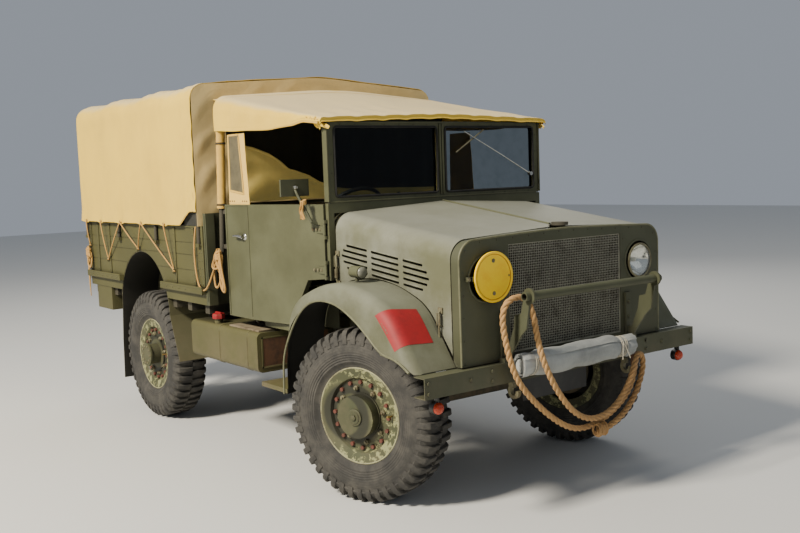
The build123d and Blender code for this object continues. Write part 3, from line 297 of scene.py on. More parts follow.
body_paint = painted("body_paint", (70, 71, 45), (99, 101, 75))
wing_paint = painted("wing_paint", (78, 79, 54), (122, 124, 108), fade=0.7, arch=True)
bonnet_paint = painted("bonnet_paint", (92, 93, 68), (131, 132, 120), fade=0.85)
# Darker olive for the front: partly the paint's own tone, partly painted shade for the nose, bumper, guard bar and
# headboard, which stand in shade.
front_paint = painted("front_paint", (62, 64, 42), (88, 91, 70), fade=0.4)
cargo_paint = painted("cargo_paint", (72, 70, 36), (94, 91, 54), fade=0.4)
mudguard_paint = painted("mudguard_paint", (72, 70, 44), (98, 96, 74), fade=0.5, arch=True)
chassis_paint = painted("chassis_paint", (52, 49, 38), (84, 78, 62), mud=0.8, rust=0.6, fade=0.4, roughness=0.8)
wheel_paint = painted(
    "wheel_paint", (58, 62, 38), (88, 92, 62), mud=0.35, rust=0.9, fade=0.4, patches=(146, 146, 102)
)
hub_paint = painted("hub_paint", (64, 66, 42), (88, 90, 64), mud=0.3, rust=0.5, fade=0.4)
print(len(bpy.data.materials), "materials so far")


# %% [markdown]
# ## Canvas
# The weave is two sets of threads crossed at a right angle. On a side they run along X and Z,
# on the roof along X and Y, so one pattern of X against Y plus Z serves both.


# %% Canvas
SUN_BLEACHED = (196, 190, 174)


def canvas(name, base, stained, pitch=0.0022, bleached=0.0):
    finish = Finish(name, base, 0.92)
    finish.shader.inputs["Sheen Weight"].default_value = 0.06
    turns = 2 * math.pi / pitch
    here = finish.axes()
    across = finish.maths("SINE", finish.maths("MULTIPLY", here["X"], turns))
    along = finish.maths("SINE", finish.maths("MULTIPLY", finish.maths("ADD", here["Y"], here["Z"]), turns))
    weave = finish.maths("MULTIPLY", across, along)
    finish.lay(stained, finish.cloud(1.6, 6, 0.7, 0.35, 0.75), 0.55)
    finish.lay(stained, finish.cloud(6, 5, 0.7, 0.5, 0.8, stretch=(1, 1, 0.12)), 0.3)
    if bleached:
        finish.lay(SUN_BLEACHED, finish.ramp(finish.facing_up(), 0.45, 0.95, bleached))
    finish.lay(stained, finish.ramp(weave, -1, 1, 0.16))
    finish.bump(weave, 0.0004, 0.6)
    finish.bump(finish.noise(12, 3), 0.004, 0.4)
    return finish.done()


tilt_cloth = canvas("tilt_cloth", (232, 195, 70), (198, 162, 66), bleached=0.55)
# Painted shade: the front panel is the same canvas, in a duller, greyer copy of the cloth because it stands in shade.
tilt_front_cloth = canvas("tilt_front_cloth", (212, 186, 126), (168, 148, 102))
tilt_hem_cloth = canvas("tilt_hem_cloth", (214, 174, 76), (178, 142, 66))
sleeve_cloth = canvas("sleeve_cloth", (208, 168, 76), (176, 140, 66))
screen_cloth = canvas("screen_cloth", (230, 192, 96), (198, 160, 82))
# Painted shade: a near-black cloth for sheets put where there is only shade, across the cab's back and in the tilt's
# right front corner.
dark_cloth = canvas("dark_cloth", (34, 34, 26), (22, 22, 18))
grey_cloth = canvas("grey_cloth", (172, 175, 172), (80, 83, 82))
seat_cloth = canvas("seat_cloth", (74, 66, 44), (50, 46, 34), pitch=0.003)
rope_fibre = canvas("rope_fibre", (186, 146, 94), (120, 88, 54), pitch=0.006)
sand_twine = canvas("sand_twine", (192, 150, 82), (132, 98, 52), pitch=0.003)
pale_string = canvas("pale_string", (196, 190, 172), (146, 138, 120), pitch=0.003)
curtain_cloth = canvas("curtain_cloth", (236, 208, 112), (196, 172, 88))
# Painted light: the drape's cloth glows, though it is no lamp.
painted_glow = curtain_cloth.node_tree.nodes["Principled BSDF"].inputs
painted_glow["Emission Color"].default_value = (0.11, 0.09, 0.03, 1)  # as if daylight soaked through the cloth
painted_glow["Emission Strength"].default_value = 0.7
print(len(bpy.data.materials), "materials so far")


# %% [markdown]
# ## Rubber, glass and small finishes
# Rubber is dusty and rough. The rest is one smooth finish with a faint grain, whose roughness,
# metal and light that passes through differ from piece to piece.


# %% Rubber
def rubber(name, base, dusty):
    finish = Finish(name, base, 0.85)
    finish.lay(dusty, finish.cloud(9, 7, 0.7, 0.35, 0.7), 0.8)
    finish.bump(finish.noise(160, 3), 0.0005, 0.6)
    return finish.done()


tyre_rubber = rubber("tyre_rubber", (46, 45, 43), (78, 75, 69))
seal_rubber = rubber("seal_rubber", (24, 24, 23), (46, 45, 42))


# %% Glass, lamps, enamel and bare metal
def smooth(name, base, spread, roughness=0.35, metallic=0.0, grain=60, depth=0.0002, **sockets):
    finish = Finish(name, base, roughness, metallic)
    finish.bump(finish.noise(grain, 3), depth, 0.4)
    for key, value in sockets.items():
        finish.shader.inputs[key.replace("_", " ")].default_value = value
    finish.lay(spread, finish.cloud(14, 6, 0.7, 0.4, 0.75))
    return finish.done()


pane_glass = smooth(
    "pane_glass", (0.22, 0.25, 0.26, 1), (0.18, 0.21, 0.22, 1), 0.0, Transmission_Weight=1.0, IOR=1.22,
    grain=8, depth=0.0,
)
lens_glass = smooth(
    "lens_glass", (0.94, 0.95, 0.94, 1), (0.88, 0.90, 0.88, 1), 0.04, Transmission_Weight=0.97, IOR=1.22,
    grain=40,
)
side_lens = smooth("side_lens", (112, 112, 100), (88, 88, 78), 0.25)
frosted_bulb = smooth("frosted_bulb", (226, 224, 210), (190, 186, 168), 0.3)
dull_window = smooth("dull_window", (132, 122, 92), (104, 98, 76), 0.35, Transmission_Weight=0.45, grain=20)
reflector = smooth("reflector", (226, 226, 220), (206, 206, 198), 0.16, 1.0)
yellow_enamel = smooth("yellow_enamel", (255, 212, 0), (250, 196, 0), 0.45)
# painted shade for the ring inside the disc's raised rim
groove_yellow = smooth("groove_yellow", (190, 130, 0), (150, 104, 8), 0.6)
red_enamel = smooth("red_enamel", (142, 14, 20), (120, 18, 22), 0.62)
orange_lens = smooth("orange_lens", (204, 66, 24), (170, 50, 20), 0.25, Transmission_Weight=0.25)
black_enamel = smooth("black_enamel", (24, 25, 25), (44, 44, 42), 0.45)
edge_paint = smooth("edge_paint", (104, 104, 78), (78, 78, 54), 0.6)
lip_cream = smooth("lip_cream", (150, 148, 112), (84, 76, 52), 0.7)
dark_thread = smooth("dark_thread", (70, 60, 42), (52, 44, 32), 0.9)
board_wood = smooth("board_wood", (122, 110, 88), (84, 70, 52), 0.8, grain=90, depth=0.0008)
bright_metal = smooth("bright_metal", (206, 206, 200), (168, 166, 158), 0.28, 1.0)
rusty_steel = smooth("rusty_steel", (96, 66, 46), (62, 48, 38), 0.85, grain=120, depth=0.001)
nut_steel = smooth("nut_steel", (122, 118, 92), (84, 70, 50), 0.6, 0.3)
clamp_steel = smooth("clamp_steel", (98, 54, 42), (70, 46, 36), 0.75)
wire_steel = smooth("wire_steel", (160, 158, 142), (112, 108, 94), 0.6, 0.3, grain=200)
fin_metal = smooth("fin_metal", (36, 33, 27), (24, 22, 18), 0.7, 0.4)
brass = smooth("brass", (176, 146, 88), (112, 92, 58), 0.45, 0.9)
print(len(bpy.data.materials), "materials in all")

# %% [markdown]
# ## Making pieces
# Each piece is a mesh that is built in place, in metres, so its object stays at the origin.
# `stand` gives it its object, its finish, the body that carries it and the CAD nodes that it stands for.

# %% Standing a piece in the scene
WELD_DISTANCE = 0.00002
SIDES = ((-1, "right"), (1, "left"))  # the sign of Y and the name of each side of the truck
AHEAD = (1, 0, 0)


def mm(x, y, z):
    """A point from the drawing's millimetres."""
    return Vector((x, y, z)) / 1000


def circle(count):
    """Even angles once round."""
    return [2 * math.pi * step / count for step in range(count)]


def stand(name, mesh, finish, body, slot, *stands_for, **mesh_options):
    """Give a mesh, or a bmesh that is turned into one, its place in the scene."""
    if isinstance(mesh, bmesh.types.BMesh):
        mesh = as_mesh(name, mesh, **mesh_options)
    mesh.materials.clear()
    mesh.materials.append(finish)
    piece = linked(name, mesh)
    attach(piece, body)
    if stands_for:
        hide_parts(*stands_for)
    return piece


def smooth(mesh, crease):
    """Shade a mesh smoothly up to the crease angle."""
    mesh.shade_smooth()
    mesh.set_sharp_from_angle(angle=math.radians(crease))
    return mesh


def bare_mesh(name, shape):
    """Turn a bmesh into a mesh as it is."""
    mesh = bpy.data.meshes.new(name)
    shape.to_mesh(mesh)
    shape.free()
    return mesh


def as_mesh(name, shape, crease=35, weld=False, recalc=False):
    """Turn a bmesh into a mesh that shades smoothly up to the crease angle."""
    if weld:
        bmesh.ops.remove_doubles(shape, verts=shape.verts, dist=WELD_DISTANCE)
    if weld or recalc:
        bmesh.ops.recalc_face_normals(shape, faces=shape.faces)
    return smooth(bare_mesh(name, shape), crease)


# %% [markdown]
# Small solids are blocks with a bevel, turned shapes and swept rods. Each helper adds one of
# them to a bmesh, so that all the parts of one fitting can be made in one mesh.


# %% Blocks
def add_block(shape, low, high, bevel=0.002):
    """A block between two corners, its edges bevelled."""
    low, high = Vector(low), Vector(high)
    middle, size = (low + high) / 2, high - low
    made = bmesh.ops.create_cube(shape, size=1)["verts"]
    for vert in made:
        vert.co = Vector(a * b for a, b in zip(vert.co, size))
    if bevel:
        edges = {edge for vert in made for edge in vert.link_edges}
        result = bmesh.ops.bevel(shape, geom=list(edges), offset=bevel, segments=2, affect="EDGES", profile=0.6)
        made = list({vert for face in result["faces"] for vert in face.verts} | {v for v in made if v.is_valid})
    for vert in made:
        vert.co = vert.co + middle


def add_side_block(shape, side, xs, ys, zs, bevel=0.002):
    """A block beside the truck's middle plane, its Y counted outward on the given side."""
    low_y, high_y = sorted(side * y for y in ys)
    add_block(shape, (xs[0], low_y, zs[0]), (xs[1], high_y, zs[1]), bevel)


# %% Turned shapes
def add_turned(shape, profile, place, steps=32):
    """A profile of (along, radius) pairs turned about the place's own Z axis."""
    rings = []
    for along, radius in profile:
        if radius < 1e-6:
            rings.append([shape.verts.new(place @ Vector((0, 0, along)))])
            continue
        rings.append([
            shape.verts.new(place @ Vector((radius * math.cos(angle), radius * math.sin(angle), along)))
            for angle in circle(steps)
        ])
    for one, two in zip(rings, rings[1:]):
        for step in range(steps):
            after = (step + 1) % steps
            if len(one) == 1 and len(two) == 1:
                break
            if len(one) == 1:
                shape.faces.new((one[0], two[after], two[step]))
            elif len(two) == 1:
                shape.faces.new((one[step], one[after], two[0]))
            else:
                shape.faces.new((one[step], one[after], two[after], two[step]))
    if profile[0] != profile[-1]:
        for ring in (rings[0][::-1], rings[-1]):
            if len(ring) > 1:
                shape.faces.new(ring)


def made(add, *values, **options):
    """A new bmesh with one thing in it."""
    shape = bmesh.new()
    add(shape, *values, **options)
    return shape


def facing(place, direction):
    """A matrix whose origin is the place and whose Z axis looks along the direction."""
    turn = Vector(direction).to_track_quat("Z", "Y").to_matrix().to_4x4()
    return Matrix.Translation(place) @ turn


# %% Rods
def add_rod(shape, path, radius, sides=10, closed=False, squeeze=1.0):
    """A rod swept along a path of points, its ring carried from point to point without twist."""
    path = [Vector(point) for point in path]
    count = len(path)
    rings = []
    normal = None
    for index, point in enumerate(path):
        ahead = path[(index + 1) % count] if closed or index + 1 < count else point
        behind = path[index - 1] if closed or index else point
        along = (ahead - behind).normalized()
        if normal is None:
            normal = along.orthogonal().normalized()
        normal = (normal - along * normal.dot(along)).normalized()
        across = along.cross(normal)
        thick = radius[index] if isinstance(radius, (list, tuple)) else radius
        rings.append([
            shape.verts.new(
                point + (normal * math.cos(angle) * thick + across * math.sin(angle) * thick * squeeze)
            )
            for angle in circle(sides)
        ])
    pairs = list(zip(rings, rings[1:])) + ([(rings[-1], rings[0])] if closed else [])
    for one, two in pairs:
        for side in range(sides):
            after = (side + 1) % sides
            shape.faces.new((one[side], one[after], two[after], two[side]))
    if not closed:
        shape.faces.new(list(reversed(rings[0])))
        shape.faces.new(rings[-1])


# %% Lines: rounded corners and even gaps
def rounded(corners, radii, per_turn=8):
    """A line through flat corners, each inner one rounded by an arc of its radius."""
    points = [Vector(corners[0])]
    for before, corner, after, radius in zip(corners, corners[1:], corners[2:], radii):
        corner = Vector(corner)
        arrive = (corner - Vector(before)).normalized()
        leave = (Vector(after) - corner).normalized()
        half_turn = arrive.angle(leave) / 2
        cut = radius * math.tan(half_turn)
        start, end = corner - arrive * cut, corner + leave * cut
        centre = corner + (leave - arrive).normalized() * radius / math.cos(half_turn)
        for step in range(per_turn + 1):
            way = start.lerp(end, step / per_turn) - centre
            points.append(centre + way.normalized() * radius)
    points.append(Vector(corners[-1]))
    return points


def spaced(points, gap):
    """The same line again with points at an even gap."""
    lengths = [0.0]
    for one, two in zip(points, points[1:]):
        lengths.append(lengths[-1] + (two - one).length)
    count = max(2, round(lengths[-1] / gap))
    result, index = [], 0
    for step in range(count + 1):
        wanted = lengths[-1] * step / count
        while index < len(points) - 2 and lengths[index + 1] < wanted:
            index += 1
        share = (wanted - lengths[index]) / max(1e-9, lengths[index + 1] - lengths[index])
        result.append(points[index].lerp(points[index + 1], min(1.0, share)))
    return result


# %% [markdown]
# ## Cloth as a grid
# A sheet is a grid of points that gets its thickness from Solidify. The modifier's result is
# taken as a plain mesh, so that no live modifier is left on the sheet.


# %% Sheets
def grid_mesh(name, rows, skin=0.003, outside=1.0, crease=60, levels=0):
    """A sheet through rows of points, with its thickness laid outside, inside or on both sides."""
    shape = bmesh.new()
    verts = [[shape.verts.new(point) for point in row] for row in rows]
    for one, two in zip(verts, verts[1:]):
        for index in range(len(one) - 1):
            shape.faces.new((one[index], one[index + 1], two[index + 1], two[index]))
    carrier = linked("carrier", bare_mesh(name, shape))
    thicken = carrier.modifiers.new("thicken", "SOLIDIFY")
    thicken.thickness = skin
    thicken.offset = outside
    if levels:
        soften = carrier.modifiers.new("soften", "SUBSURF")
        soften.levels = soften.render_levels = levels
    return plain(carrier, crease)


def evaluated_mesh(carrier):
    """The evaluated object as a new mesh. The carrier and its modifiers are removed."""
    graph = bpy.context.evaluated_depsgraph_get()
    graph.update()
    mesh = bpy.data.meshes.new_from_object(carrier.evaluated_get(graph), depsgraph=graph)
    bpy.data.objects.remove(carrier)
    return mesh


def plain(carrier, crease=60):
    """The same, shaded smoothly up to the crease angle."""
    return smooth(evaluated_mesh(carrier), crease)


def ripple(x, y, z, scale, seed=0.0):
    """Smooth noise between about -1 and 1 that stays the same each run."""
    return vnoise.noise(Vector((x * scale + seed, y * scale + seed * 0.7, z * scale - seed)))


# %% [markdown]
# ## Fasteners by Geometry Nodes
# A truck has hundreds of bolts and rivets. One tree puts a head on every vertex of a mesh,
# turned to face the direction stored on it, and the modifier's inputs say how big the head is.


# %% Making, ending and running a tree
def new_tree(name, *inputs):
    """A tree with named inputs, given with its inputs' sockets and its output node."""
    tree = bpy.data.node_groups.new(name, "GeometryNodeTree")
    tree.interface.new_socket("Geometry", in_out="INPUT", socket_type="NodeSocketGeometry")
    for label, kind, value in inputs:
        socket = tree.interface.new_socket(label, in_out="INPUT", socket_type="NodeSocket" + kind)
        if value is not None:
            socket.default_value = value
    tree.interface.new_socket("Geometry", in_out="OUTPUT", socket_type="NodeSocketGeometry")
    return tree, tree.nodes.new("NodeGroupInput").outputs, tree.nodes.new("NodeGroupOutput")


def put(tree, kind, inputs, **settings):
    """A node of a tree, given by its first output."""
    return add_node(tree, kind, inputs, **settings).outputs[0]


def end_tree(tree, entry, out, geometry):
    """Every tree ends in Realize Instances and Set Material."""
    real = put(tree, "GeometryNodeRealizeInstances", {0: geometry})
    finished = put(tree, "GeometryNodeSetMaterial", {"Geometry": real, "Material": entry["Finish"]})
    tree.links.new(finished, out.inputs[0])


def grow(mesh, tree, crease=35, **inputs):
    """Run a tree on a mesh and take its result as a plain mesh."""
    carrier = linked("carrier", mesh)
    modifier = carrier.modifiers.new("tree", "NODES")
    modifier.node_group = tree
    for item in tree.interface.items_tree:
        key = item.name.replace(" ", "_")
        if item.item_type == "SOCKET" and item.in_out == "INPUT" and key in inputs:
            modifier[item.identifier] = inputs[key]
    return plain(carrier, crease)


# %% The tree of heads
heads_tree, entry, out = new_tree(
    "heads",
    ("Head radius", "Float", 0.008),
    ("Head height", "Float", 0.005),
    ("Sides", "Int", 6),
    ("Dome", "Float", 0.0),
    ("Washer radius", "Float", 0.0),
    ("Finish", "Material", None),
)
looks = put(heads_tree, "GeometryNodeInputNamedAttribute", {"Name": "looks"}, data_type="FLOAT_VECTOR")
turn = put(heads_tree, "FunctionNodeAlignRotationToVector", {"Vector": looks}, axis="Z")
shrink = put(heads_tree, "ShaderNodeMath", {0: entry["Dome"], 1: -0.45, 2: 0.94}, operation="MULTIPLY_ADD")
top = put(heads_tree, "ShaderNodeMath", {0: shrink, 1: entry["Head radius"]}, operation="MULTIPLY")
cone = put(heads_tree, "GeometryNodeMeshCone", {
    "Vertices": entry["Sides"], "Radius Bottom": entry["Head radius"], "Radius Top": top,
    "Depth": entry["Head height"],
})
washer = put(heads_tree, "GeometryNodeMeshCylinder", {
    "Vertices": 14, "Depth": 0.0016, "Radius": entry["Washer radius"],
})
both = put(heads_tree, "GeometryNodeJoinGeometry", {0: cone})
heads_tree.links.new(washer, both.node.inputs[0])
scatter = put(heads_tree, "GeometryNodeInstanceOnPoints", {
    "Points": entry["Geometry"], "Instance": both, "Rotation": turn,
})
end_tree(heads_tree, entry, out, scatter)

# %% Putting heads on places
fastener_count = 0


def heads(name, places, finish, body, slot, radius, height, sides=6, dome=0.0, washer=0.0):
    """One mesh of heads: each place is a point and the direction that its head looks in."""
    global fastener_count
    mesh = bpy.data.meshes.new(name)
    mesh.from_pydata([point for point, _ in places], [], [])
    looks_in = mesh.attributes.new("looks", "FLOAT_VECTOR", "POINT")
    for held, (_, direction) in zip(looks_in.data, places):
        held.vector = Vector(direction).normalized()
    fastener_count += len(places)
    grown = grow(
        mesh, heads_tree, Head_radius=radius, Head_height=height, Sides=sides, Dome=dome,
        Washer_radius=washer, Finish=finish,
    )
    return stand(name, grown, finish, body, slot)


print("helpers ready, tree of heads has", len(heads_tree.nodes), "nodes")

# %% [markdown]
# ## Wheels and tyres
# All four wheels are one pattern. A tyre is turned from its section, and its tread bars are one
# bar repeated round the axle by a second tree. The mesh is then moved to each corner, and the
# front pair is turned with its knuckles.

# %% The tree that repeats a mesh round the axle
round_tree, entry, out = new_tree(
    "round_the_axle", ("Count", "Int", 12), ("First turn", "Float", 0.0), ("Finish", "Material", None)
)
line = put(round_tree, "GeometryNodeMeshLine", {"Offset": (0, 0, 0), "Count": entry["Count"]})
order = put(round_tree, "GeometryNodeInputIndex", {})
share = put(round_tree, "ShaderNodeMath", {0: order, 1: entry["Count"]}, operation="DIVIDE")
turned = put(
    round_tree, "ShaderNodeMath", {0: share, 1: 2 * math.pi, 2: entry["First turn"]}, operation="MULTIPLY_ADD"
)
about_y = put(round_tree, "ShaderNodeCombineXYZ", {"Y": turned})
repeat = put(round_tree, "GeometryNodeInstanceOnPoints", {
    "Points": line, "Instance": entry["Geometry"], "Rotation": about_y,
})
end_tree(round_tree, entry, out, repeat)

# %% Where the four wheels stand
STEER_TURN = math.radians(18)
CORNERS = [  # name, X and Y of the wheel's middle, turn about Z
    ("front_right", 1.376155, -0.78927, STEER_TURN),
    ("front_left", 1.303845, 0.78927, STEER_TURN + math.pi),
    ("rear_right", REAR_AXLE_X, -0.795, 0.0),
    ("rear_left", REAR_AXLE_X, 0.795, math.pi),
]
ABOUT_AXLE = Matrix.Rotation(math.pi / 2, 4, "X")  # takes the turned shape's Z axis to -Y


def off_axle(distance):
    """A turned shape's place on the wheel's outer face, a distance from its middle."""
    return Matrix.Translation((distance, 0, 0)) @ ABOUT_AXLE


def on_wheels(name, mesh, finish, slot="wheel_paint", stands_for=None, ends=("front", "rear")):
    """Stand a copy of the mesh on every wheel, or on those of one axle."""
    for corner, x, y, turn in CORNERS:
        if corner.startswith(tuple(ends)):
            moved = mesh.copy()
            moved.transform(Matrix.Translation((x, y, AXLE_Z)) @ Matrix.Rotation(turn, 4, "Z"))
            nodes_covered = [f"{stands_for}_{corner}"] if stands_for else []
            stand(f"{name}_{corner}", moved, finish, f"{corner}_wheel", slot, *nodes_covered)


print(len(CORNERS), "wheels")

# %% Tyre section: beads, ribbed sidewalls and the base of the tread
half_section = [(0.0, 0.437), (0.030, 0.438), (0.060, 0.436), (0.084, 0.431), (0.097, 0.424), (0.106, 0.413)]
half_section += [(0.1115, 0.402), (0.1135, 0.399), (0.1125, 0.396)]
for rib in range(9):
    radius = 0.392 - rib * 0.0125
    bulge = 0.118 - 0.9 * abs(radius - 0.345) ** 1.6
    half_section += [
        (bulge - 0.0005, radius), (bulge + 0.0006, radius - 0.003), (bulge + 0.0005, radius - 0.008),
    ]
half_section += [
    (0.098, 0.270), (0.0925, 0.262), (0.090, 0.254), (0.083, 0.250), (0.077, 0.213), (0.071, 0.204),
]
tyre_section = [(-along, radius) for along, radius in reversed(half_section)] + half_section[1:]
shape = bmesh.new()
add_turned(shape, tyre_section + [tyre_section[0]], ABOUT_AXLE, 96)
tyre_body = as_mesh("tyre_body", shape, 50, weld=True)

# %% One tread bar of each side, then 44 of them round the tyre
TREAD_BARS = 44
BAR_SECTIONS = [  # along the axle, lowest and highest radius, half width round the tyre
    (0.003, 0.430, 0.4535, 0.0135),
    (0.045, 0.430, 0.4545, 0.0140),
    (0.078, 0.424, 0.4525, 0.0150),
    (0.098, 0.414, 0.4450, 0.0160),
    (0.113, 0.398, 0.4240, 0.0150),
    (0.1175, 0.376, 0.3980, 0.0125),
]
bar_meshes = []
for side, first in ((-1, 0.0), (1, math.pi / TREAD_BARS)):
    shape = bmesh.new()
    rings = []
    for along, low, high, half in BAR_SECTIONS:
        outward = Vector((0, side * along, 0))
        rings.append([
            shape.verts.new(outward + Vector((x, 0, z)))
            for x, z in ((-half - 0.002, low), (-half, high - 0.003), (-half + 0.003, high),
                         (half - 0.003, high), (half, high - 0.003), (half + 0.002, low))
        ])
    for one, two in zip(rings, rings[1:]):
        for index in range(6):
            after = (index + 1) % 6
            shape.faces.new((one[index], one[after], two[after], two[index]))
    shape.faces.new(rings[0])
    shape.faces.new(list(reversed(rings[-1])))
    bmesh.ops.recalc_face_normals(shape, faces=shape.faces)
    bar = bare_mesh("tread_bar", shape)
    bar_meshes.append(grow(bar, round_tree, 25, Count=TREAD_BARS, First_turn=first, Finish=tyre_rubber))


def joined(name, *meshes, crease=35):
    """Several meshes as one mesh."""
    shape = bmesh.new()
    for mesh in meshes:
        shape.from_mesh(mesh)
    return as_mesh(name, shape, crease)


tyre_mesh = joined("tyre", tyre_body, *bar_meshes, crease=30)
on_wheels("dressed_tyre", tyre_mesh, tyre_rubber, "tyre", "tyre")
print("one tyre has", len(tyre_mesh.polygons), "faces")

# %% [markdown]
# The rim is split and held by a ring of clamp bolts. Their heads are red brown with rust, the
# wheel nuts inside them are pale, and the rim's lip has lost most of its cream paint.

# %% Profiles of the wheel's fittings, as pairs of outward place and radius
CLAMP_BOLT = [
    (-0.074, 0.0), (-0.074, 0.0105), (-0.072, 0.0112), (-0.060, 0.0112), (-0.060, 0.0135), (-0.057, 0.0135),
    (-0.057, 0.0),
]
WHEEL_NUT = [
    (0.056, 0.0), (0.056, 0.0185), (0.0585, 0.0185), (0.0585, 0.0145), (0.074, 0.0140), (0.0775, 0.0105),
    (0.0775, 0.0075), (0.084, 0.0072), (0.086, 0.0),
]
RIM_LIP = [
    (0.0835, 0.2495), (0.0845, 0.2525), (0.088, 0.2540), (0.0915, 0.2525), (0.0925, 0.2490), (0.0905, 0.2455),
    (0.0845, 0.2440), (0.0835, 0.2495),
]
HUB_CAP = [
    (0.120, 0.0), (0.120, 0.043), (0.1300, 0.043), (0.1312, 0.0405), (0.1312, 0.034), (0.1345, 0.032),
    (0.1345, 0.0),
]
HUB_NUT = [(0.130, 0.0), (0.130, 0.0155), (0.1415, 0.0155), (0.1430, 0.0120), (0.1430, 0.0)]
SHAFT_BOLT = [(0.148, 0.0), (0.148, 0.0085), (0.1545, 0.0080), (0.1545, 0.0)]


def ring_of(name, profile, place, sides, count, finish, first_turn=0.0):
    """A turned shape repeated round the axle."""
    one = as_mesh(name, made(add_turned, profile, place, sides), recalc=True)
    return grow(one, round_tree, Count=count, First_turn=first_turn, Finish=finish)


print(len(WHEEL_NUT), "points in a wheel nut's profile")

# %% Clamp bolts, wheel nuts, rim lip and valve
mirrored = Matrix.Translation((0.172, 0, 0)) @ ABOUT_AXLE @ Matrix.Scale(-1, 4, (0, 0, 1))
on_wheels("clamp_bolts", ring_of("clamp", CLAMP_BOLT, mirrored, 8, 16, clamp_steel), clamp_steel)
nut_mesh = ring_of("nut", WHEEL_NUT, off_axle(0.141), 6, 8, nut_steel, math.radians(-11))
on_wheels("wheel_nuts", nut_mesh, nut_steel)
on_wheels("rim_lip", as_mesh("lip", made(add_turned, RIM_LIP, ABOUT_AXLE, 72), 60, weld=True), lip_cream)
shape = bmesh.new()
stem = [(0.20, -0.050, 0.02), (0.205, -0.085, 0.02), (0.198, -0.101, 0.02)]
add_rod(shape, stem, [0.0045, 0.0045, 0.0035], 8)
add_rod(shape, [(0.198, -0.101, 0.02), (0.196, -0.112, 0.02)], 0.0062, 8)
on_wheels("valve", as_mesh("valve", shape), brass)
print("bolts, nuts, lips and valves on", len(CORNERS), "wheels")

# %% The front hubs' stepped caps and the rear hubs' shaft bolts
shape = made(add_turned, HUB_CAP, ABOUT_AXLE, 40)
add_turned(shape, HUB_NUT, ABOUT_AXLE, 6)
on_wheels("hub_cap", as_mesh("hub_cap", shape, recalc=True), hub_paint, ends=("front",))
shaft_bolts = ring_of("shaft_bolt", SHAFT_BOLT, off_axle(0.062), 6, 10, nut_steel)
on_wheels("hub_bolts", shaft_bolts, nut_steel, ends=("rear",))
print("wheels dressed")

# %% [markdown]
# ## The tow rope
# A thick laid rope hangs from the left tow hook, swings under the bumper, climbs over the right
# guard bracket and comes back down. Its middle line is the drawing's route as a NURBS spline, and
# three strands twist round that line.

# %% The rope's middle line
ROPE_ROUTE = [
    (2.140, 0.408, 0.642), (2.144, 0.385, 0.545), (2.150, 0.282, 0.452), (2.152, 0.120, 0.382),
    (2.152, -0.060, 0.366), (2.150, -0.220, 0.448), (2.148, -0.400, 0.606), (2.144, -0.486, 0.730),
    (2.142, -0.540, 0.930), (2.150, -0.548, 1.040), (2.158, -0.500, 1.086), (2.164, -0.416, 1.086),
    (2.172, -0.372, 1.010), (2.192, -0.368, 0.890), (2.212, -0.350, 0.770), (2.214, -0.268, 0.620),
    (2.206, -0.140, 0.478), (2.200, 0.010, 0.414), (2.196, 0.170, 0.446), (2.188, 0.296, 0.548),
    (2.172, 0.372, 0.662), (2.152, 0.420, 0.702), (2.144, 0.474, 0.664), (2.146, 0.452, 0.560),
    (2.166, 0.350, 0.448), (2.180, 0.210, 0.368), (2.178, 0.060, 0.330),
]
ROPE_DIAMETER = 0.032


def spline_line(name, points, resolution=12):
    """The points of a NURBS spline, read from the curve that Blender makes of it."""
    curve = bpy.data.curves.new(name, "CURVE")
    curve.dimensions = "3D"
    curve.resolution_u = resolution
    spline = curve.splines.new("NURBS")
    spline.points.add(len(points) - 1)
    for point, place in zip(spline.points, points):
        point.co = (*place, 1.0)
    spline.order_u = 3
    spline.use_endpoint_u = True
    carrier = linked(name, curve)
    return [vert.co.copy() for vert in evaluated_mesh(carrier).vertices]


def length_of(line):
    return sum((two - one).length for one, two in zip(line, line[1:]))


rope_line = spline_line("rope_route", ROPE_ROUTE)
print("rope", round(length_of(rope_line), 3), "m long, from", len(rope_line), "points")


# %% Three strands laid round a line
def laid_rope(name, line, diameter, finish, turns_per_metre, strands=3, sides=8, gap=None):
    shape = bmesh.new()
    line = spaced(line, gap or diameter * 0.28)
    strand_radius = diameter * 0.5 / (1 + 1 / math.sin(math.pi / strands)) * 1.13
    reach = diameter / 2 - strand_radius
    normals, normal, walked, turns = [], None, 0.0, []
    for index, point in enumerate(line):
        along = (line[min(index + 1, len(line) - 1)] - line[max(index - 1, 0)]).normalized()
        normal = along.orthogonal().normalized() if normal is None else normal
        normal = (normal - along * normal.dot(along)).normalized()
        normals.append((normal.copy(), along.cross(normal)))
        turns.append(walked * turns_per_metre * 2 * math.pi)
        if index + 1 < len(line):
            walked += (line[index + 1] - point).length
    for start in circle(strands):
        path = []
        for point, (out_way, side_way), turn in zip(line, normals, turns):
            path.append(point + (out_way * math.cos(turn + start) + side_way * math.sin(turn + start)) * reach)
        add_rod(shape, path, strand_radius, sides)
    return as_mesh(name, shape, 70)


rope_mesh = laid_rope("tow_rope_strands", rope_line, ROPE_DIAMETER, rope_fibre, 9.5)
tow_rope = stand("dressed_tow_rope", rope_mesh, rope_fibre, "chassis", "rope", "tow_rope")


# %% Whipping near the rope's end, the turns that tie it, and the shackle on the left hook
def bound_end(shape, line, start, turns, radius, thread):
    """Thread wound tightly round a line's end."""
    walked, path = 0.0, []
    line = spaced(line, thread * 0.25)
    for index in range(start, min(len(line) - 1, start + round(turns * 4))):
        along = (line[index + 1] - line[index]).normalized()
        normal = along.orthogonal().normalized()
        across = along.cross(normal)
        for step in range(4):
            angle = walked + step * math.pi / 8
            path.append(line[index] + (normal * math.cos(angle) + across * math.sin(angle)) * radius)
        walked += math.pi / 2
    add_rod(shape, path, thread / 2, 5)


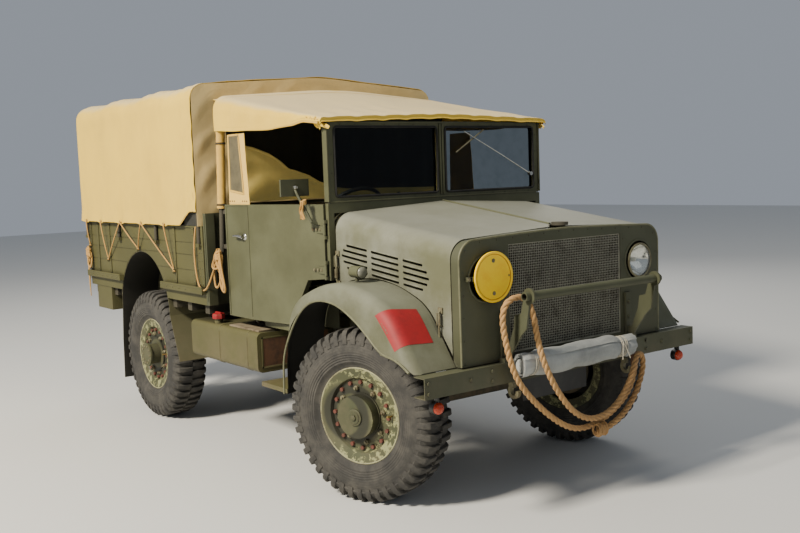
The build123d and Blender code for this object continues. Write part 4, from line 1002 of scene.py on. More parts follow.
LUMP_PLACE = Vector((2.176, 0.086, 0.352))
shape = bmesh.new()
for start, turns in ((2, 11), (60, 8)):
    bound_end(shape, rope_line[::-1], start, turns, 0.0165, 0.003)
for turn in range(7):  # loose turns that tie the rope's end to its lowest bend
    lean, size = 0.9 * math.sin(turn * 2.1), 0.030 + 0.003 * math.sin(turn * 1.3)
    ring = []
    for angle in circle(20):
        ring.append(LUMP_PLACE + Vector((
            size * 0.75 * math.cos(angle),
            0.009 * (turn - 3) + 0.014 * lean * math.cos(angle),
            size * math.sin(angle),
        )))
    add_rod(shape, ring, 0.0055, 8, closed=True)
rope_binding = stand("rope_binding", shape, rope_fibre, "chassis", "rope", crease=60)
round(length_of(rope_line), 3)
[tuple(point) for point in rope_line]
shape = bmesh.new()
shackle = [(2.128, 0.400, 0.690), (2.126, 0.398, 0.655), (2.120, 0.408, 0.628), (2.112, 0.424, 0.618),
           (2.106, 0.440, 0.628), (2.102, 0.450, 0.655), (2.100, 0.450, 0.690)]
add_rod(shape, spline_line("shackle", shackle, 6), 0.0065, 8)
add_rod(shape, [(2.130, 0.392, 0.690), (2.098, 0.458, 0.690)], 0.0075, 8)
stand("tow_shackle", shape, rusty_steel, "chassis", "chassis_paint", crease=50)
# %% [markdown]
# ## The tilt
# The cover over the load is one stiff canvas sheet over four hoops. It sags a little between
# the hoops, its hem is pulled down at each eyelet, and the sides carry shallow upright ripples.
# The sheet is a grid: stations along X, and points round the hoop's outline at each station.

# %% Outline and stations
TILT_HALF, TILT_HEM, TILT_EAVE, TILT_RIDGE = 0.958, 1.394, 2.290, 2.362
TILT_REAR, TILT_FRONT = -2.270, -0.203
TILT_HOOPS = [-2.228, -1.570, -0.890, -0.222]
EYELETS = [-2.180, -1.873, -1.478, -1.088, -0.700]
tilt_outline = rounded(
    [
        (-TILT_HALF, TILT_HEM), (-TILT_HALF, TILT_EAVE), (0, TILT_RIDGE),
        (TILT_HALF, TILT_EAVE), (TILT_HALF, TILT_HEM),
    ],
    [0.112, 1.2, 0.112], 10,
)
tilt_outline = spaced([Vector((*point, 0)) for point in tilt_outline], 0.019)


def between(x, places):
    """0 on a hoop, 1 midway between two hoops."""
    for one, two in zip(places, places[1:]):
        if one <= x <= two:
            return math.sin(math.pi * (x - one) / (two - one)) ** 2
    return 0.0


def tilt_point(x, y, z):
    """Where a point of the plain outline lies once the cloth has settled."""
    side = 1 if y > 0 else -1
    wall = min(1.0, max(0.0, (TILT_EAVE - 0.05 - z) / 0.12))
    roof = 1 - wall
    sag = between(x, TILT_HOOPS)
    low = max(0.0, 1 - (z - TILT_HEM) / 0.34)
    out = -0.010 * sag * wall * math.sin(math.pi * min(1, (z - TILT_HEM) / 0.9))
    out += wall * 0.006 * ripple(x, y, z * 0.22, 5.5, 3) * (0.4 + low)
    out += wall * low * 0.007 * ripple(x, side, z * 0.5, 9.0, 8)
    front = max(0.0, 1 - (TILT_FRONT - x) / 0.30)
    wave = math.sin((z + (TILT_FRONT - x) * 1.6) * 42 + 2.0 * ripple(x, y, z, 3))
    out += wall * 0.006 * front * wave * (0.35 + 0.65 * low)
    down = roof * (0.016 * sag + 0.004 * ripple(x, y, 0, 4, 5) + 0.003 * ripple(x, y * 0.4, 0, 14, 9))
    by_eave = max(0, 1 - abs(abs(y) - 0.86) / 0.16)
    down += roof * 0.004 * (1 + math.sin(x * 38 + 3 * ripple(x, y, 0, 2, 1))) * by_eave
    pull = sum(max(0.0, 1 - abs(x - place) / 0.075) for place in EYELETS)
    hem = max(0.0, 1 - (z - TILT_HEM) / 0.10)
    lift = hem * (0.009 - 0.014 * min(1.0, pull)) * (1 if x < -0.35 else 0.3)
    out += hem * (0.006 - 0.010 * min(1.0, pull)) * wall
    out = min(out, 0.009)
    return Vector((x, y + side * out * wall, z - max(down, -0.002) + lift))


def hem_height(x):
    """The front corner of the hem is cut away in a slope."""
    return TILT_HEM if x < -0.452 else min(1.494, TILT_HEM + (x + 0.452) / 0.146 * 0.10)


# %% The sheet
stations = [TILT_REAR + (TILT_FRONT - TILT_REAR) * step / 108 for step in range(109)]
tilt_rows = []
for x in stations:
    foot = hem_height(x)
    row = []
    for point in tilt_outline:
        y, z = point.x, point.y
        if z < TILT_EAVE - 0.2:
            z = foot + (z - TILT_HEM) * (TILT_EAVE - 0.2 - foot) / (TILT_EAVE - 0.2 - TILT_HEM)
        row.append(tilt_point(x, y, z))
    tilt_rows.append(row)
tilt_mesh = grid_mesh("tilt", tilt_rows, 0.0035, -1.0)
tilt = stand("dressed_tilt", tilt_mesh, tilt_cloth, "chassis", "tilt_canvas", "tilt_canvas")
print("tilt has", len(tilt_mesh.polygons), "faces")

# %% The front of the tilt: a slack panel, laced to the cover at its edge, in a duller copy of the cloth as painted shade, and a near-black flap of painted shade in its right corner
PANEL_FOOT, PANEL_X, PANEL_HALF = 1.400, -0.2035, 0.951
front_rows = []
for step in range(97):
    y = -PANEL_HALF + 2 * PANEL_HALF * step / 96
    top = max(point.y for point in tilt_outline if abs(point.x - y) < 0.02) - 0.006
    column = []
    for rise in range(41):
        z = PANEL_FOOT + (top - PANEL_FOOT) * rise / 40
        loose = math.sin(math.pi * rise / 40) ** 0.5 * min(1.0, (PANEL_HALF - abs(y)) / 0.05)
        wave = 0.012 * math.sin((z + abs(y) * 0.9) * 26 + 2 * ripple(y, z, 0, 3, 4))
        wave += 0.010 * ripple(y, z, 0, 7, 2)
        column.append(Vector((PANEL_X + loose * max(-0.002, wave) * 0.45, y, z)))
    front_rows.append(column)
front_mesh = grid_mesh("tilt_front", front_rows, 0.0035, 1.0)
# Painted shade: a near-black flap fills the tilt's right front corner, where there is only shade.
shade_flap_rows = [
    [Vector((x, -0.932 + 0.002 * math.sin(x * 40), z)) for z in (1.402, 1.45, 1.50, 1.56)]
    for x in (-0.44, -0.38, -0.32, -0.26, -0.212)
]
shade_flap_mesh = grid_mesh("corner_flap", shade_flap_rows, 0.003, 0.0)
corner_flap = stand("tilt_corner_flap", shade_flap_mesh, dark_cloth, "chassis", "tilt_canvas")
tilt_front = stand("tilt_front_panel", front_mesh, tilt_front_cloth, "chassis", "tilt_canvas")

# %% [markdown]
# ## Seams and stitches
# Flat seams are narrow doubled strips that lie on the cloth. A third tree sets one stitch after
# another along a line.

# %% The tree of stitches
stitch_tree, entry, out = new_tree(
    "stitches", ("Spacing", "Float", 0.012), ("Length", "Float", 0.007), ("Thickness", "Float", 0.0012),
    ("Finish", "Material", None),
)
curve = put(stitch_tree, "GeometryNodeMeshToCurve", {0: entry["Geometry"]})
points = put(
    stitch_tree, "GeometryNodeCurveToPoints", {"Curve": curve, "Length": entry["Spacing"]}, mode="LENGTH"
)
along = put(
    stitch_tree, "FunctionNodeAlignRotationToVector", {"Vector": points.node.outputs["Tangent"]}, axis="X"
)
bar = put(stitch_tree, "GeometryNodeMeshUVSphere", {"Segments": 6, "Rings": 4, "Radius": 1.0})
half = put(stitch_tree, "ShaderNodeMath", {0: entry["Length"], 1: 0.5}, operation="MULTIPLY")
size = put(stitch_tree, "ShaderNodeCombineXYZ", {"X": half, "Y": entry["Thickness"], "Z": entry["Thickness"]})
sew = put(stitch_tree, "GeometryNodeInstanceOnPoints", {
    "Points": points, "Instance": bar, "Rotation": along, "Scale": size,
})
end_tree(stitch_tree, entry, out, sew)


def line_mesh(name, *lines):
    """One mesh of loose edges, for the trees that follow a line."""
    points, edges = [], []
    for line in lines:
        start = len(points)
        points += [tuple(point) for point in line]
        edges += [(start + step, start + step + 1) for step in range(len(line) - 1)]
    mesh = bpy.data.meshes.new(name)
    mesh.from_pydata(points, edges, [])
    return mesh


def stitches(name, lines, finish, body, slot, spacing=0.012, length=0.007, thickness=0.0012):
    sewn = grow(
        line_mesh(name, *lines), stitch_tree, 60,
        Spacing=spacing, Length=length, Thickness=thickness, Finish=finish,
    )
    return stand(name, sewn, finish, body, slot)


def ribbon(shape, line, outs, width, thickness):
    """A flat strip that follows a line on a surface: each point has the way out of the cloth."""
    rings = []
    for index, (point, out_way) in enumerate(zip(line, outs)):
        ahead = line[min(index + 1, len(line) - 1)] - line[max(index - 1, 0)]
        across = ahead.normalized().cross(out_way).normalized() * width / 2
        rise = out_way.normalized() * thickness
        strip = (point - across, point - across * 0.86 + rise, point + across * 0.86 + rise, point + across)
        rings.append([shape.verts.new(corner) for corner in strip])
    for one, two in zip(rings, rings[1:]):
        for side in range(4):
            after = (side + 1) % 4
            shape.faces.new((one[side], two[side], two[after], one[after]))
    shape.faces.new(rings[0])
    shape.faces.new(list(reversed(rings[-1])))
    bmesh.ops.recalc_face_normals(shape, faces=shape.faces)


def outward(row, index):
    """The way out of the cloth at one point of a round-the-hoop row."""
    before, after = row[max(0, index - 1)], row[min(len(row) - 1, index + 1)]
    return Vector((0, -(after - before).z, (after - before).y)).normalized()


# %% Seams over the tilt and along its eaves, with their stitches
shape = bmesh.new()
stitch_lines = []
for station in (2, 36, 71, 106):
    row = tilt_rows[station]
    outs = [outward(row, index) for index in range(len(row))]
    lifted = [point + way * 0.0002 for point, way in zip(row, outs)]
    ribbon(shape, lifted, outs, 0.034 if station in (2, 106) else 0.020, 0.0016)
    for shift in (-0.006, 0.006):
        stitch_lines.append([point + way * 0.0022 + Vector((shift, 0, 0)) for point, way in zip(row, outs)])
EAVE_INDEX = 51
for index, width, thickness in (
    (EAVE_INDEX, 0.018, 0.0015), (len(tilt_outline) - 1 - EAVE_INDEX, 0.018, 0.0015),
    (1, 0.040, 0.0020), (len(tilt_outline) - 2, 0.040, 0.0020),
):
    line = [row[index] for row in tilt_rows]
    outs = [outward(row, index) for row in tilt_rows]
    ribbon(shape, line, outs, width, thickness)
    if width > 0.030:  # the two hems
        stitch_lines.append([row[index + (2 if index == 1 else -1)] + outs[0] * 0.0022 for row in tilt_rows])
stand("tilt_seams", shape, tilt_hem_cloth, "chassis", "tilt_canvas", crease=40)
stitches("tilt_stitches", stitch_lines, dark_thread, "chassis", "tilt_canvas", 0.013, 0.008, 0.0011)

# %% [markdown]
# ## The cab's canvas roof
# The cab roof is a second sheet. It falls from the hoop behind the seats to the windscreen, its
# sides hang down as a short valance, and long soft folds run back from the windscreen's corners.

# %% Canopy sheet
CANOPY_REAR, CANOPY_FRONT = -0.006, 1.096
CANOPY_HEM = [(-0.020, 1.984), (0.270, 1.970), (0.592, 1.962), (0.814, 1.976), (1.010, 2.000), (1.110, 2.004)]
WALL_STEPS, ROOF_STEPS = 9, 96


def along_table(table, x):
    """The value at x between the rows of a short table, eased from row to row."""
    for (x1, z1), (x2, z2) in zip(table, table[1:]):
        if x <= x2:
            share = max(0.0, (x - x1) / (x2 - x1))
            share = share * share * (3 - 2 * share)
            return z1 + (z2 - z1) * share
    return table[-1][1]


def eased(start, end, share):
    return start + (end - start) * share


canopy_rows = []
for share in (step / 64 for step in range(65)):
    x = eased(CANOPY_REAR, CANOPY_FRONT, share)
    half, eave = eased(0.900, 0.836, share), eased(2.192, 1.998, share)
    crown, corner = eased(2.258, 2.022, share), eased(0.088, 0.020, share)
    foot = min(along_table(CANOPY_HEM, x), eave - corner - 0.004)
    line = rounded(
        [(-half, foot, 0), (-half, eave, 0), (0, crown, 0), (half, eave, 0), (half, foot, 0)],
        [corner, 3.5, corner], 8,
    )
    right_side = spaced(line[:2], (line[1] - line[0]).length / WALL_STEPS)
    left_side = spaced(line[-2:], (line[-1] - line[-2]).length / WALL_STEPS)
    middle = spaced(line[1:-1], length_of(line[1:-1]) / ROOF_STEPS)
    slack = math.sin(math.pi * min(1.0, share * 1.02)) ** 0.8
    row = []
    for point in right_side[:-1] + middle + left_side[1:]:
        y, z = point.x, point.y
        roof = min(1.0, max(0.0, (z - (eave - corner)) / max(corner, 0.02)))
        fold = 0.010 * math.sin(abs(y) * 34 - share * 7.0 + 2.2 * ripple(x, y, 0, 2.2, 4))
        fold *= max(0, share - 0.25)
        sag = 0.030 * slack * (1 - (y / 0.9) ** 2) + 0.007 * ripple(x * 0.5, y, 0, 6, 2) * slack
        drop = roof * (sag + fold * 0.6)
        swing = (1 - roof) * (0.007 * ripple(x, 0, z, 8, 6) + 0.004 * math.sin(x * 30))
        side = 1 if y > 0 else -1
        row.append(Vector((x, y + side * min(0.006, swing), z - max(0.0, drop))))
    canopy_rows.append(row)
# The sheet turns down over the windscreen in a narrow front hem.
last = canopy_rows[-1]
for share in (fall / 5 for fall in range(1, 6)):
    row = []
    for point in last:
        depth = 0.024 * share * min(1.0, max(0.0, (point.z - 1.95) / 0.05))
        z = point.z - depth + 0.001 * ripple(0, point.y, share * 0.5, 9)
        row.append(Vector((1.0975 - 0.004 * math.sin(math.pi * share), point.y, z)))
    canopy_rows.append(row)
canopy_mesh = grid_mesh("canopy", canopy_rows, 0.0035, -1.0)
canopy = stand("dressed_canopy", canopy_mesh, tilt_cloth, "chassis", "tilt_canvas", "cab_canopy")
print("canopy has", len(canopy_mesh.polygons), "faces")

# %% Apron from the canopy back to the tilt, and the canopy's hems
apron_rows = []
for step in range(17):
    x = -0.200 + 0.200 * step / 16
    row = []
    for across in range(61):
        y = -0.80 + 1.60 * across / 60
        z = 2.250 - 0.056 * abs(y) / 0.76
        row.append(Vector((x, y, z - 0.014 * math.sin(math.pi * step / 16) + 0.005 * ripple(x, y, 0, 9, 3))))
    apron_rows.append(row)
apron = stand("canopy_apron", grid_mesh("apron", apron_rows, 0.0035, -1.0), tilt_cloth, "chassis", "tilt_canvas")
shape = bmesh.new()
hem_stitches = []
for index, side in ((1, -1), (-2, 1)):
    line = [row[index] for row in canopy_rows[:64]]
    outs = [Vector((0, side, 0))] * len(line)
    ribbon(shape, line, outs, 0.026, 0.0020)
    hem_stitches.append([point + Vector((0, side * 0.0025, 0.010)) for point in line])
row = canopy_rows[3]
outs = [outward(row, index) for index in range(len(row))]
ribbon(shape, row, outs, 0.030, 0.0018)
hem_stitches.append([point + way * 0.0022 for point, way in zip(row, outs)])
row = canopy_rows[66]
ribbon(shape, row[10:-10], [Vector((1, 0, 0))] * len(row[10:-10]), 0.010, 0.0012)
stand("canopy_hems", shape, tilt_hem_cloth, "chassis", "tilt_canvas", crease=40)
stitches("canopy_stitches", hem_stitches, dark_thread, "chassis", "tilt_canvas", 0.012, 0.007, 0.0010)

# %% [markdown]
# The canopy is tied to each windscreen corner by a gathered flap, and its rear pole is wrapped
# in the same sand canvas.

# %% Corner flaps, ties and pole sleeves
POLE_LEAN = math.tan(math.radians(4))


def on_pole(side, z):
    """The middle of a leaning canopy pole at a height."""
    return Vector((-0.038 + (z - 1.240) * POLE_LEAN, side * 0.870, z))


shape = bmesh.new()
for side in (-1, 1):
    rows = []
    for share in (step / 8 for step in range(9)):
        middle = mm(1010, side * 838, 2000).lerp(mm(1076, side * 806, 1944), share)
        width = 0.050 * (1 - 0.72 * math.sin(math.pi * min(1, share * 1.15)) ** 2)
        rows.append([
            middle + Vector((
                width * (across - 4) / 4, side * 0.012 * math.sin(across * 1.9 + share * 3),
                0.010 * math.sin(across * 2.4),
            ))
            for across in range(9)
        ])
    shape.from_mesh(grid_mesh("flap", rows, 0.004, 1.0))
    turns = [
        mm(1048 + 13 * math.cos(a), side * (822 + 11 * math.sin(a)), 1970 + 2 * a)
        for a in (step * 0.5 for step in range(26))
    ]
    add_rod(shape, turns, 0.0035, 6)
stand("canopy_ties", shape, tilt_cloth, "chassis", "tilt_canvas", crease=60)
shape = bmesh.new()
for side in (-1, 1):
    path, widths = [], []
    for step in range(41):
        z = 1.512 + 0.470 * step / 40
        path.append(on_pole(side, z))
        hem = 0.002 if step in (0, 1, 39, 40) else 0
        widths.append(0.0268 + 0.0005 * math.sin(z * 95) + 0.0009 * ripple(side, z, 0, 20) + hem)
    add_rod(shape, path, widths, 18)
stand("pole_sleeves", shape, sleeve_cloth, "chassis", "tilt_canvas", crease=60)
shape = bmesh.new()
for side in (-1, 1):
    for z in (1.53, 1.905):
        ring = [on_pole(side, z) + 0.0295 * Vector((math.cos(a), math.sin(a), 0)) for a in circle(18)]
        for lift in (0, 0.004, 0.008):
            add_rod(shape, [p + Vector((0, 0, lift)) for p in ring], 0.0020, 5, closed=True)
stand("pole_ties", shape, dark_thread, "chassis", "tilt_canvas", crease=60)
print("canopy tied")

# %% [markdown]
# ## Side screens and the curtain behind the seats
# Each side screen is a sand canvas border sewn round a grey window of clear sheet that has gone
# dull, and it is held to the door by studs along its foot. A near-black sheet across the cab's
# back is painted shade, and an olive yellow drape sags in front of it from pole to pole and
# glows with painted light.

# %% Side screens
SCREEN_CORNERS = [(0.105, 1.520), (0.118, 1.955), (0.330, 1.955), (0.362, 1.505)]  # X, Z
WINDOW_CORNERS = [(0.128, 1.620), (0.135, 1.950), (0.262, 1.950), (0.296, 1.600)]


def screen_grid(corners, across_steps, up_steps, side, y_out):
    """A slightly loose sheet between four corners, as columns from foot to top."""
    rows = []
    for share in (a / across_steps for a in range(across_steps + 1)):
        low = Vector(corners[0]).lerp(Vector(corners[3]), share)
        high = Vector(corners[1]).lerp(Vector(corners[2]), share)
        row = []
        for up_share in (b / up_steps for b in range(up_steps + 1)):
            x, z = low.lerp(high, up_share)
            loose = 0.004 * math.sin(math.pi * up_share) * ripple(x, z, side, 8, 2)
            row.append(Vector((x, side * (y_out + loose), z)))
        rows.append(row)
    return rows


for side, name in SIDES:
    door = f"{name}_door"
    out_way = Vector((0, side, 0))
    screen_mesh = grid_mesh("screen", screen_grid(SCREEN_CORNERS, 24, 44, side, 0.878), 0.003, 0.0)
    screen = stand(
        f"dressed_side_screen_{name}", screen_mesh, screen_cloth, door, "tilt_canvas", f"side_screen_{name}",
    )
    pane_rows = screen_grid(WINDOW_CORNERS, 12, 26, side, 0.8812)
    pane = stand(f"screen_window_{name}", grid_mesh("pane", pane_rows, 0.0012, 0.0), dull_window, door, "glass")
    feet, tops = [row[0] for row in pane_rows], [row[-1] for row in pane_rows]
    edge = tops[::-1] + pane_rows[0][::-1] + feet + pane_rows[-1]
    edge = [one for one, two in zip(edge, edge[1:] + [edge[0]]) if (one - two).length > 1e-5]
    shape = made(ribbon, [p + out_way * 0.0012 for p in edge], [out_way] * len(edge), 0.012, 0.0012)
    seam = stand(f"screen_seam_{name}", shape, tilt_hem_cloth, door, "tilt_canvas", crease=40)
    stud_places = [(Vector((0.120 + 0.026 * i, side * 0.8800, 1.556)), (0, side, 0)) for i in (0, 1, 2, 6, 7, 8)]
    studs = heads(f"screen_studs_{name}", stud_places, clamp_steel, door, "olive_paint", 0.0052, 0.0028, 10, 0.8)
print("two side screens")

# %% A near-black sheet of painted shade across the cab's back, and the olive yellow drape that sags in front of it, glowing with painted light
BACK_HALF, BACK_STEPS = 0.845, 110  # both cloths reach across the cab's back
back_ys = [-BACK_HALF + 2 * BACK_HALF * step / BACK_STEPS for step in range(BACK_STEPS + 1)]
# Painted shade: a near-black sheet hangs across the cab's back, where there is only shade.
shade_curtain_rows = []
for y in back_ys:
    top = 2.176 - 0.022 * abs(y) / 0.85
    row = []
    for share in (rise / 32 for rise in range(33)):
        z = 1.552 + (top - 1.552) * share
        pleat = 0.016 * (1 - 0.35 * share) * math.sin(y * 31 + 1.5 * ripple(y, 0, z * 0.3, 2.5, 7))
        row.append(Vector((0.050 + 0.005 * share + pleat + 0.010 * ripple(y, 0, z, 4, 1), y, z)))
    shade_curtain_rows.append(row)
shade_curtain_mesh = grid_mesh("curtain", shade_curtain_rows, 0.003, 0.0)
curtain = stand("cab_curtain", shade_curtain_mesh, dark_cloth, "chassis", "tilt_canvas")
DRAPE_TOP = [  # Y, Z of the drape's upper edge: it is hitched up at the right pole only
    (-0.845, 1.900), (-0.690, 1.874), (-0.580, 1.834), (-0.500, 1.786), (-0.440, 1.736), (-0.390, 1.724),
    (-0.290, 1.690), (-0.220, 1.650), (-0.100, 1.608), (0.000, 1.594), (0.845, 1.578),
]
drape_rows = []
for y in back_ys:
    stretches = zip(DRAPE_TOP, DRAPE_TOP[1:])
    (one_y, one_z), (two_y, two_z) = next(pair for pair in stretches if y <= pair[1][0] + 1e-6)
    top = one_z + (two_z - one_z) * (y - one_y) / (two_y - one_y)
    row = []
    for share in (rise / 24 for rise in range(25)):
        z = 1.548 + (top - 1.548) * share
        fold = math.sin(18 * (z - 1.55) + 11 * abs(y)) * 0.014 * math.sin(math.pi * min(1.0, share + 0.25))
        row.append(Vector((0.084 + fold + 0.006 * ripple(y, 0, z, 5, 3), y, z)))
    drape_rows.append(row)
drape = stand("cab_drape", grid_mesh("drape", drape_rows, 0.003, 0.0), curtain_cloth, "chassis", "tilt_canvas")
shape = made(add_rod, [row[-1] for row in drape_rows], 0.0075, 8)
drape_hem = stand("drape_hem", shape, curtain_cloth, "chassis", "tilt_canvas", crease=60)
rail = [mm(54, y, z) for y, z in ((-850, 2160), (-420, 2176), (0, 2182), (420, 2176), (850, 2160))]
curtain_rail = stand("curtain_rail", made(add_rod, rail, 0.006, 8), chassis_paint, "chassis", "chassis_paint")
print("curtain and drape hung")

# %% [markdown]
# ## Seats
# Each seat is a cushion and a back in dark cloth. They are blown up by a short cloth simulation
# from a slightly smaller box, so their tops crown and their sides pull in between the corners.

# %% Padded seats
def padded_box(name, size, turn_y, middle, swell, seams):
    """A cushion blown up by Cloth, then laid in place."""
    shape = made(add_block, [-value / 2 for value in size], [value / 2 for value in size], 0.018)
    carrier = linked("carrier", as_mesh(name, shape, 60))
    remesh = carrier.modifiers.new("remesh", "REMESH")
    remesh.mode = "VOXEL"
    remesh.voxel_size = 0.009
    remesh.use_smooth_shade = True
    base = plain(carrier, 180)
    rest = [vert.co.copy() for vert in base.vertices]
    carrier = linked("carrier", base)
    cloth = carrier.modifiers.new("cloth", "CLOTH")
    cloth.settings.use_pressure = True
    cloth.settings.uniform_pressure_force = 4
    cloth.settings.effector_weights.gravity = 0
    for number in range(1, 15):
        bpy.context.scene.frame_set(number)
    graph = bpy.context.evaluated_depsgraph_get()
    settled = carrier.evaluated_get(graph).to_mesh()
    moved = [vert.co.copy() for vert in settled.vertices]
    carrier.evaluated_get(graph).to_mesh_clear()
    carrier.modifiers.clear()
    bpy.data.objects.remove(carrier)
    bpy.context.scene.frame_set(1)
    for vert, old, new in zip(base.vertices, rest, moved):
        step = new - old
        if step.length > swell:
            step = step.normalized() * swell
        place = old + step
        for seam in seams:
            gap = abs(place[seam[0]] - seam[1])
            if gap < 0.022:
                place -= vert.normal * 0.009 * (1 - gap / 0.022) ** 1.5
        vert.co = place
    soften = bmesh.new()
    soften.from_mesh(base)
    bmesh.ops.smooth_vert(
        soften, verts=soften.verts, factor=0.35, use_axis_x=True, use_axis_y=True, use_axis_z=True
    )
    soften.to_mesh(base)
    soften.free()
    base.transform(Matrix.Translation(middle) @ Matrix.Rotation(turn_y, 4, "Y"))
    base.shade_smooth()
    return base


PAD_SEAMS = [(1, -0.105), (1, 0.0), (1, 0.105)]  # axis and place of the stitched lines
PADS = [  # name, size, lean, X and Z of the middle
    ("cushion", (0.416, 0.416, 0.082), 0.0, 0.440, 1.106),
    ("back", (0.066, 0.416, 0.416), math.radians(-10), 0.196, 1.330),
]
for side, name in SIDES:
    for pad_name, size, lean, x, z in PADS:
        pad_mesh = padded_box(f"{pad_name}_{name}", size, lean, Vector((x, side * 0.420, z)), 0.011, PAD_SEAMS)
        pad = stand(f"seat_{pad_name}_{name}", pad_mesh, seat_cloth, "chassis", "seat_cloth", "seats")
print("seats padded")

# %% [markdown]

# %% [markdown]
# ## The nose
# The grille is a woven wire screen in a thin frame. One crimped wire is drawn, and a tree repeats
# it across the opening in both directions, every second wire turned over so that they weave.

# %% The tree that weaves
weave_tree, entry, out = new_tree(
    "weave", ("Wires", "Int", 60), ("Pitch", "Float", 0.0127), ("Sideways", "Vector", (0, 1, 0)),
    ("Over", "Vector", (1, 0, 0)), ("Finish", "Material", None),
)
step_vector = put(
    weave_tree, "ShaderNodeVectorMath", {0: entry["Sideways"], "Scale": entry["Pitch"]}, operation="SCALE"
)
line = put(weave_tree, "GeometryNodeMeshLine", {
    "Count": entry["Wires"], "Offset": step_vector,
})
order = put(weave_tree, "GeometryNodeInputIndex", {})
odd = put(weave_tree, "ShaderNodeMath", {0: order, 1: 2.0}, operation="MODULO")
half_turns = put(weave_tree, "ShaderNodeMath", {0: odd, 1: math.pi}, operation="MULTIPLY")
turn_over = put(weave_tree, "FunctionNodeAxisAngleToRotation", {"Axis": entry["Over"], "Angle": half_turns})
lay = put(weave_tree, "GeometryNodeInstanceOnPoints", {
    "Points": line, "Instance": entry["Geometry"], "Rotation": turn_over,
})
end_tree(weave_tree, entry, out, lay)

# %% Grille wires and their frame
GRILLE_HALF, GRILLE_LOW, GRILLE_TOP, GRILLE_X = 0.407, 0.800, 1.329, 2.0435
PITCH, WIRE = 0.0127, 0.0017
across_count = int(2 * GRILLE_HALF / PITCH)
up_count = int((GRILLE_TOP - GRILLE_LOW) / PITCH)


def crimped(count, direction, half_length):
    """One wire along a direction, waving in X once every two crossings, centred on the origin."""
    shape = bmesh.new()
    path = []
    steps = count * 2
    for step in range(steps + 1):
        way = -half_length + 2 * half_length * step / steps
        path.append(Vector((WIRE * 0.85 * math.sin(math.pi * way / PITCH), 0, 0)) + Vector(direction) * way)
    add_rod(shape, path, WIRE, 4)
    return bare_mesh("wire", shape)


upright = grow(crimped(up_count, (0, 0, 1), (GRILLE_TOP - GRILLE_LOW) / 2), weave_tree, 60, Wires=across_count,
               Pitch=PITCH, Sideways=(0, 1, 0), Over=(0, 0, 1), Finish=wire_steel)
GRILLE_MIDDLE = (GRILLE_TOP + GRILLE_LOW) / 2
upright.transform(Matrix.Translation((GRILLE_X, -PITCH * (across_count - 1) / 2, GRILLE_MIDDLE)))
level = grow(crimped(across_count, (0, 1, 0), GRILLE_HALF), weave_tree, 60, Wires=up_count,
             Pitch=PITCH, Sideways=(0, 0, 1), Over=(0, 1, 0), Finish=wire_steel)
level.transform(Matrix.Translation((GRILLE_X, 0, GRILLE_LOW + PITCH / 2)))
FRAME_HALF, FRAME_LOW, FRAME_TOP = GRILLE_HALF + 0.012, GRILLE_LOW - 0.012, GRILLE_TOP + 0.012
shape = bmesh.new()
for low, high in (  # lowest and highest corners, Y and Z
    ((-FRAME_HALF, FRAME_LOW), (FRAME_HALF, GRILLE_LOW + 0.004)),
    ((-FRAME_HALF, GRILLE_TOP - 0.004), (FRAME_HALF, FRAME_TOP)),
    ((-FRAME_HALF, GRILLE_LOW), (-GRILLE_HALF + 0.004, GRILLE_TOP)),
    ((GRILLE_HALF - 0.004, GRILLE_LOW), (FRAME_HALF, GRILLE_TOP)),
):
    add_block(shape, (2.0370, *low), (2.0455, *high), 0.0015)
frame_mesh = as_mesh("grille_frame", shape)
grille_mesh = joined("grille", upright, level, frame_mesh, crease=60)
stand("dressed_grille", grille_mesh, wire_steel, "chassis", "chassis_paint", "grille_mesh")
print("grille", across_count, "by", up_count, "wires,", len(grille_mesh.polygons), "faces")

# %% Radiator core behind it: upright tubes with fins, in a box of dark baffles
shape = bmesh.new()
for step in range(62):
    y = -0.384 + step * 0.768 / 61
    add_block(shape, (1.9795, y - 0.0012, 0.800), (1.9845, y + 0.0012, 1.285), 0)
for step in range(48):
    z = 0.805 + step * 0.0100
    add_block(shape, (1.9790, -0.386, z - 0.0006), (1.9822, 0.386, z + 0.0006), 0)
for side in (-1, 1):
    for far, back in ((0.4000, 1.9815), (0.4300, 2.0300)):
        add_side_block(shape, side, (back, 2.0362), (0.3960, far), (0.790, 1.334), 0)
for low in (1.3300, 0.7900):
    add_block(shape, (1.9815, -0.3960, low), (2.0360, 0.3960, low + 0.0040), 0)
stand("radiator_fins", shape, fin_metal, "chassis", "chassis_paint")

# %% [markdown]
# ## Lamps and the disc
# The left lamp is a steel shell with a bright reflector under a domed glass with fine upright
# flutes. The right bowl holds no lamp, and a blank yellow disc hangs in front of it.

# %% Profiles of the lamps and the disc, as pairs of place along X and radius
LAMP_SHELL = [
    (-0.088, 0.0), (-0.086, 0.030), (-0.062, 0.058), (-0.040, 0.076), (-0.012, 0.084), (-0.012, 0.0905),
    (-0.004, 0.0935), (0.006, 0.0930), (0.0115, 0.0895), (0.0125, 0.0860), (0.009, 0.0838), (-0.002, 0.0832),
    (-0.020, 0.070), (-0.040, 0.045), (-0.054, 0.016), (-0.056, 0.0),
]
LAMP_GLASS = [
    (0.004, 0.0), (0.004, 0.083), (0.007, 0.0832), (0.012, 0.074), (0.0165, 0.050), (0.0190, 0.024), (0.0195, 0.0),
]
LAMP_BULB = [(-0.050, 0.0), (-0.050, 0.010), (-0.030, 0.011), (-0.024, 0.009), (-0.018, 0.0)]
LAMP_BEZEL = [
    (0.0040, 0.0940), (0.0125, 0.0945), (0.0150, 0.0905), (0.0138, 0.0855), (0.0100, 0.0845), (0.0040, 0.0940),
]
BOWL_RIM = [
    (-0.003, 0.1045), (0.0035, 0.1050), (0.0050, 0.1080), (0.0045, 0.1125), (0.0015, 0.1150), (-0.003, 0.1150),
    (-0.003, 0.1045),
]
DISC = [
    (0.0220, 0.0), (0.0220, 0.1195), (0.0225, 0.1215), (0.0290, 0.1220), (0.0312, 0.1200), (0.0312, 0.1160),
    (0.0290, 0.1110), (0.0268, 0.1080), (0.0262, 0.1000), (0.0262, 0.0),
]
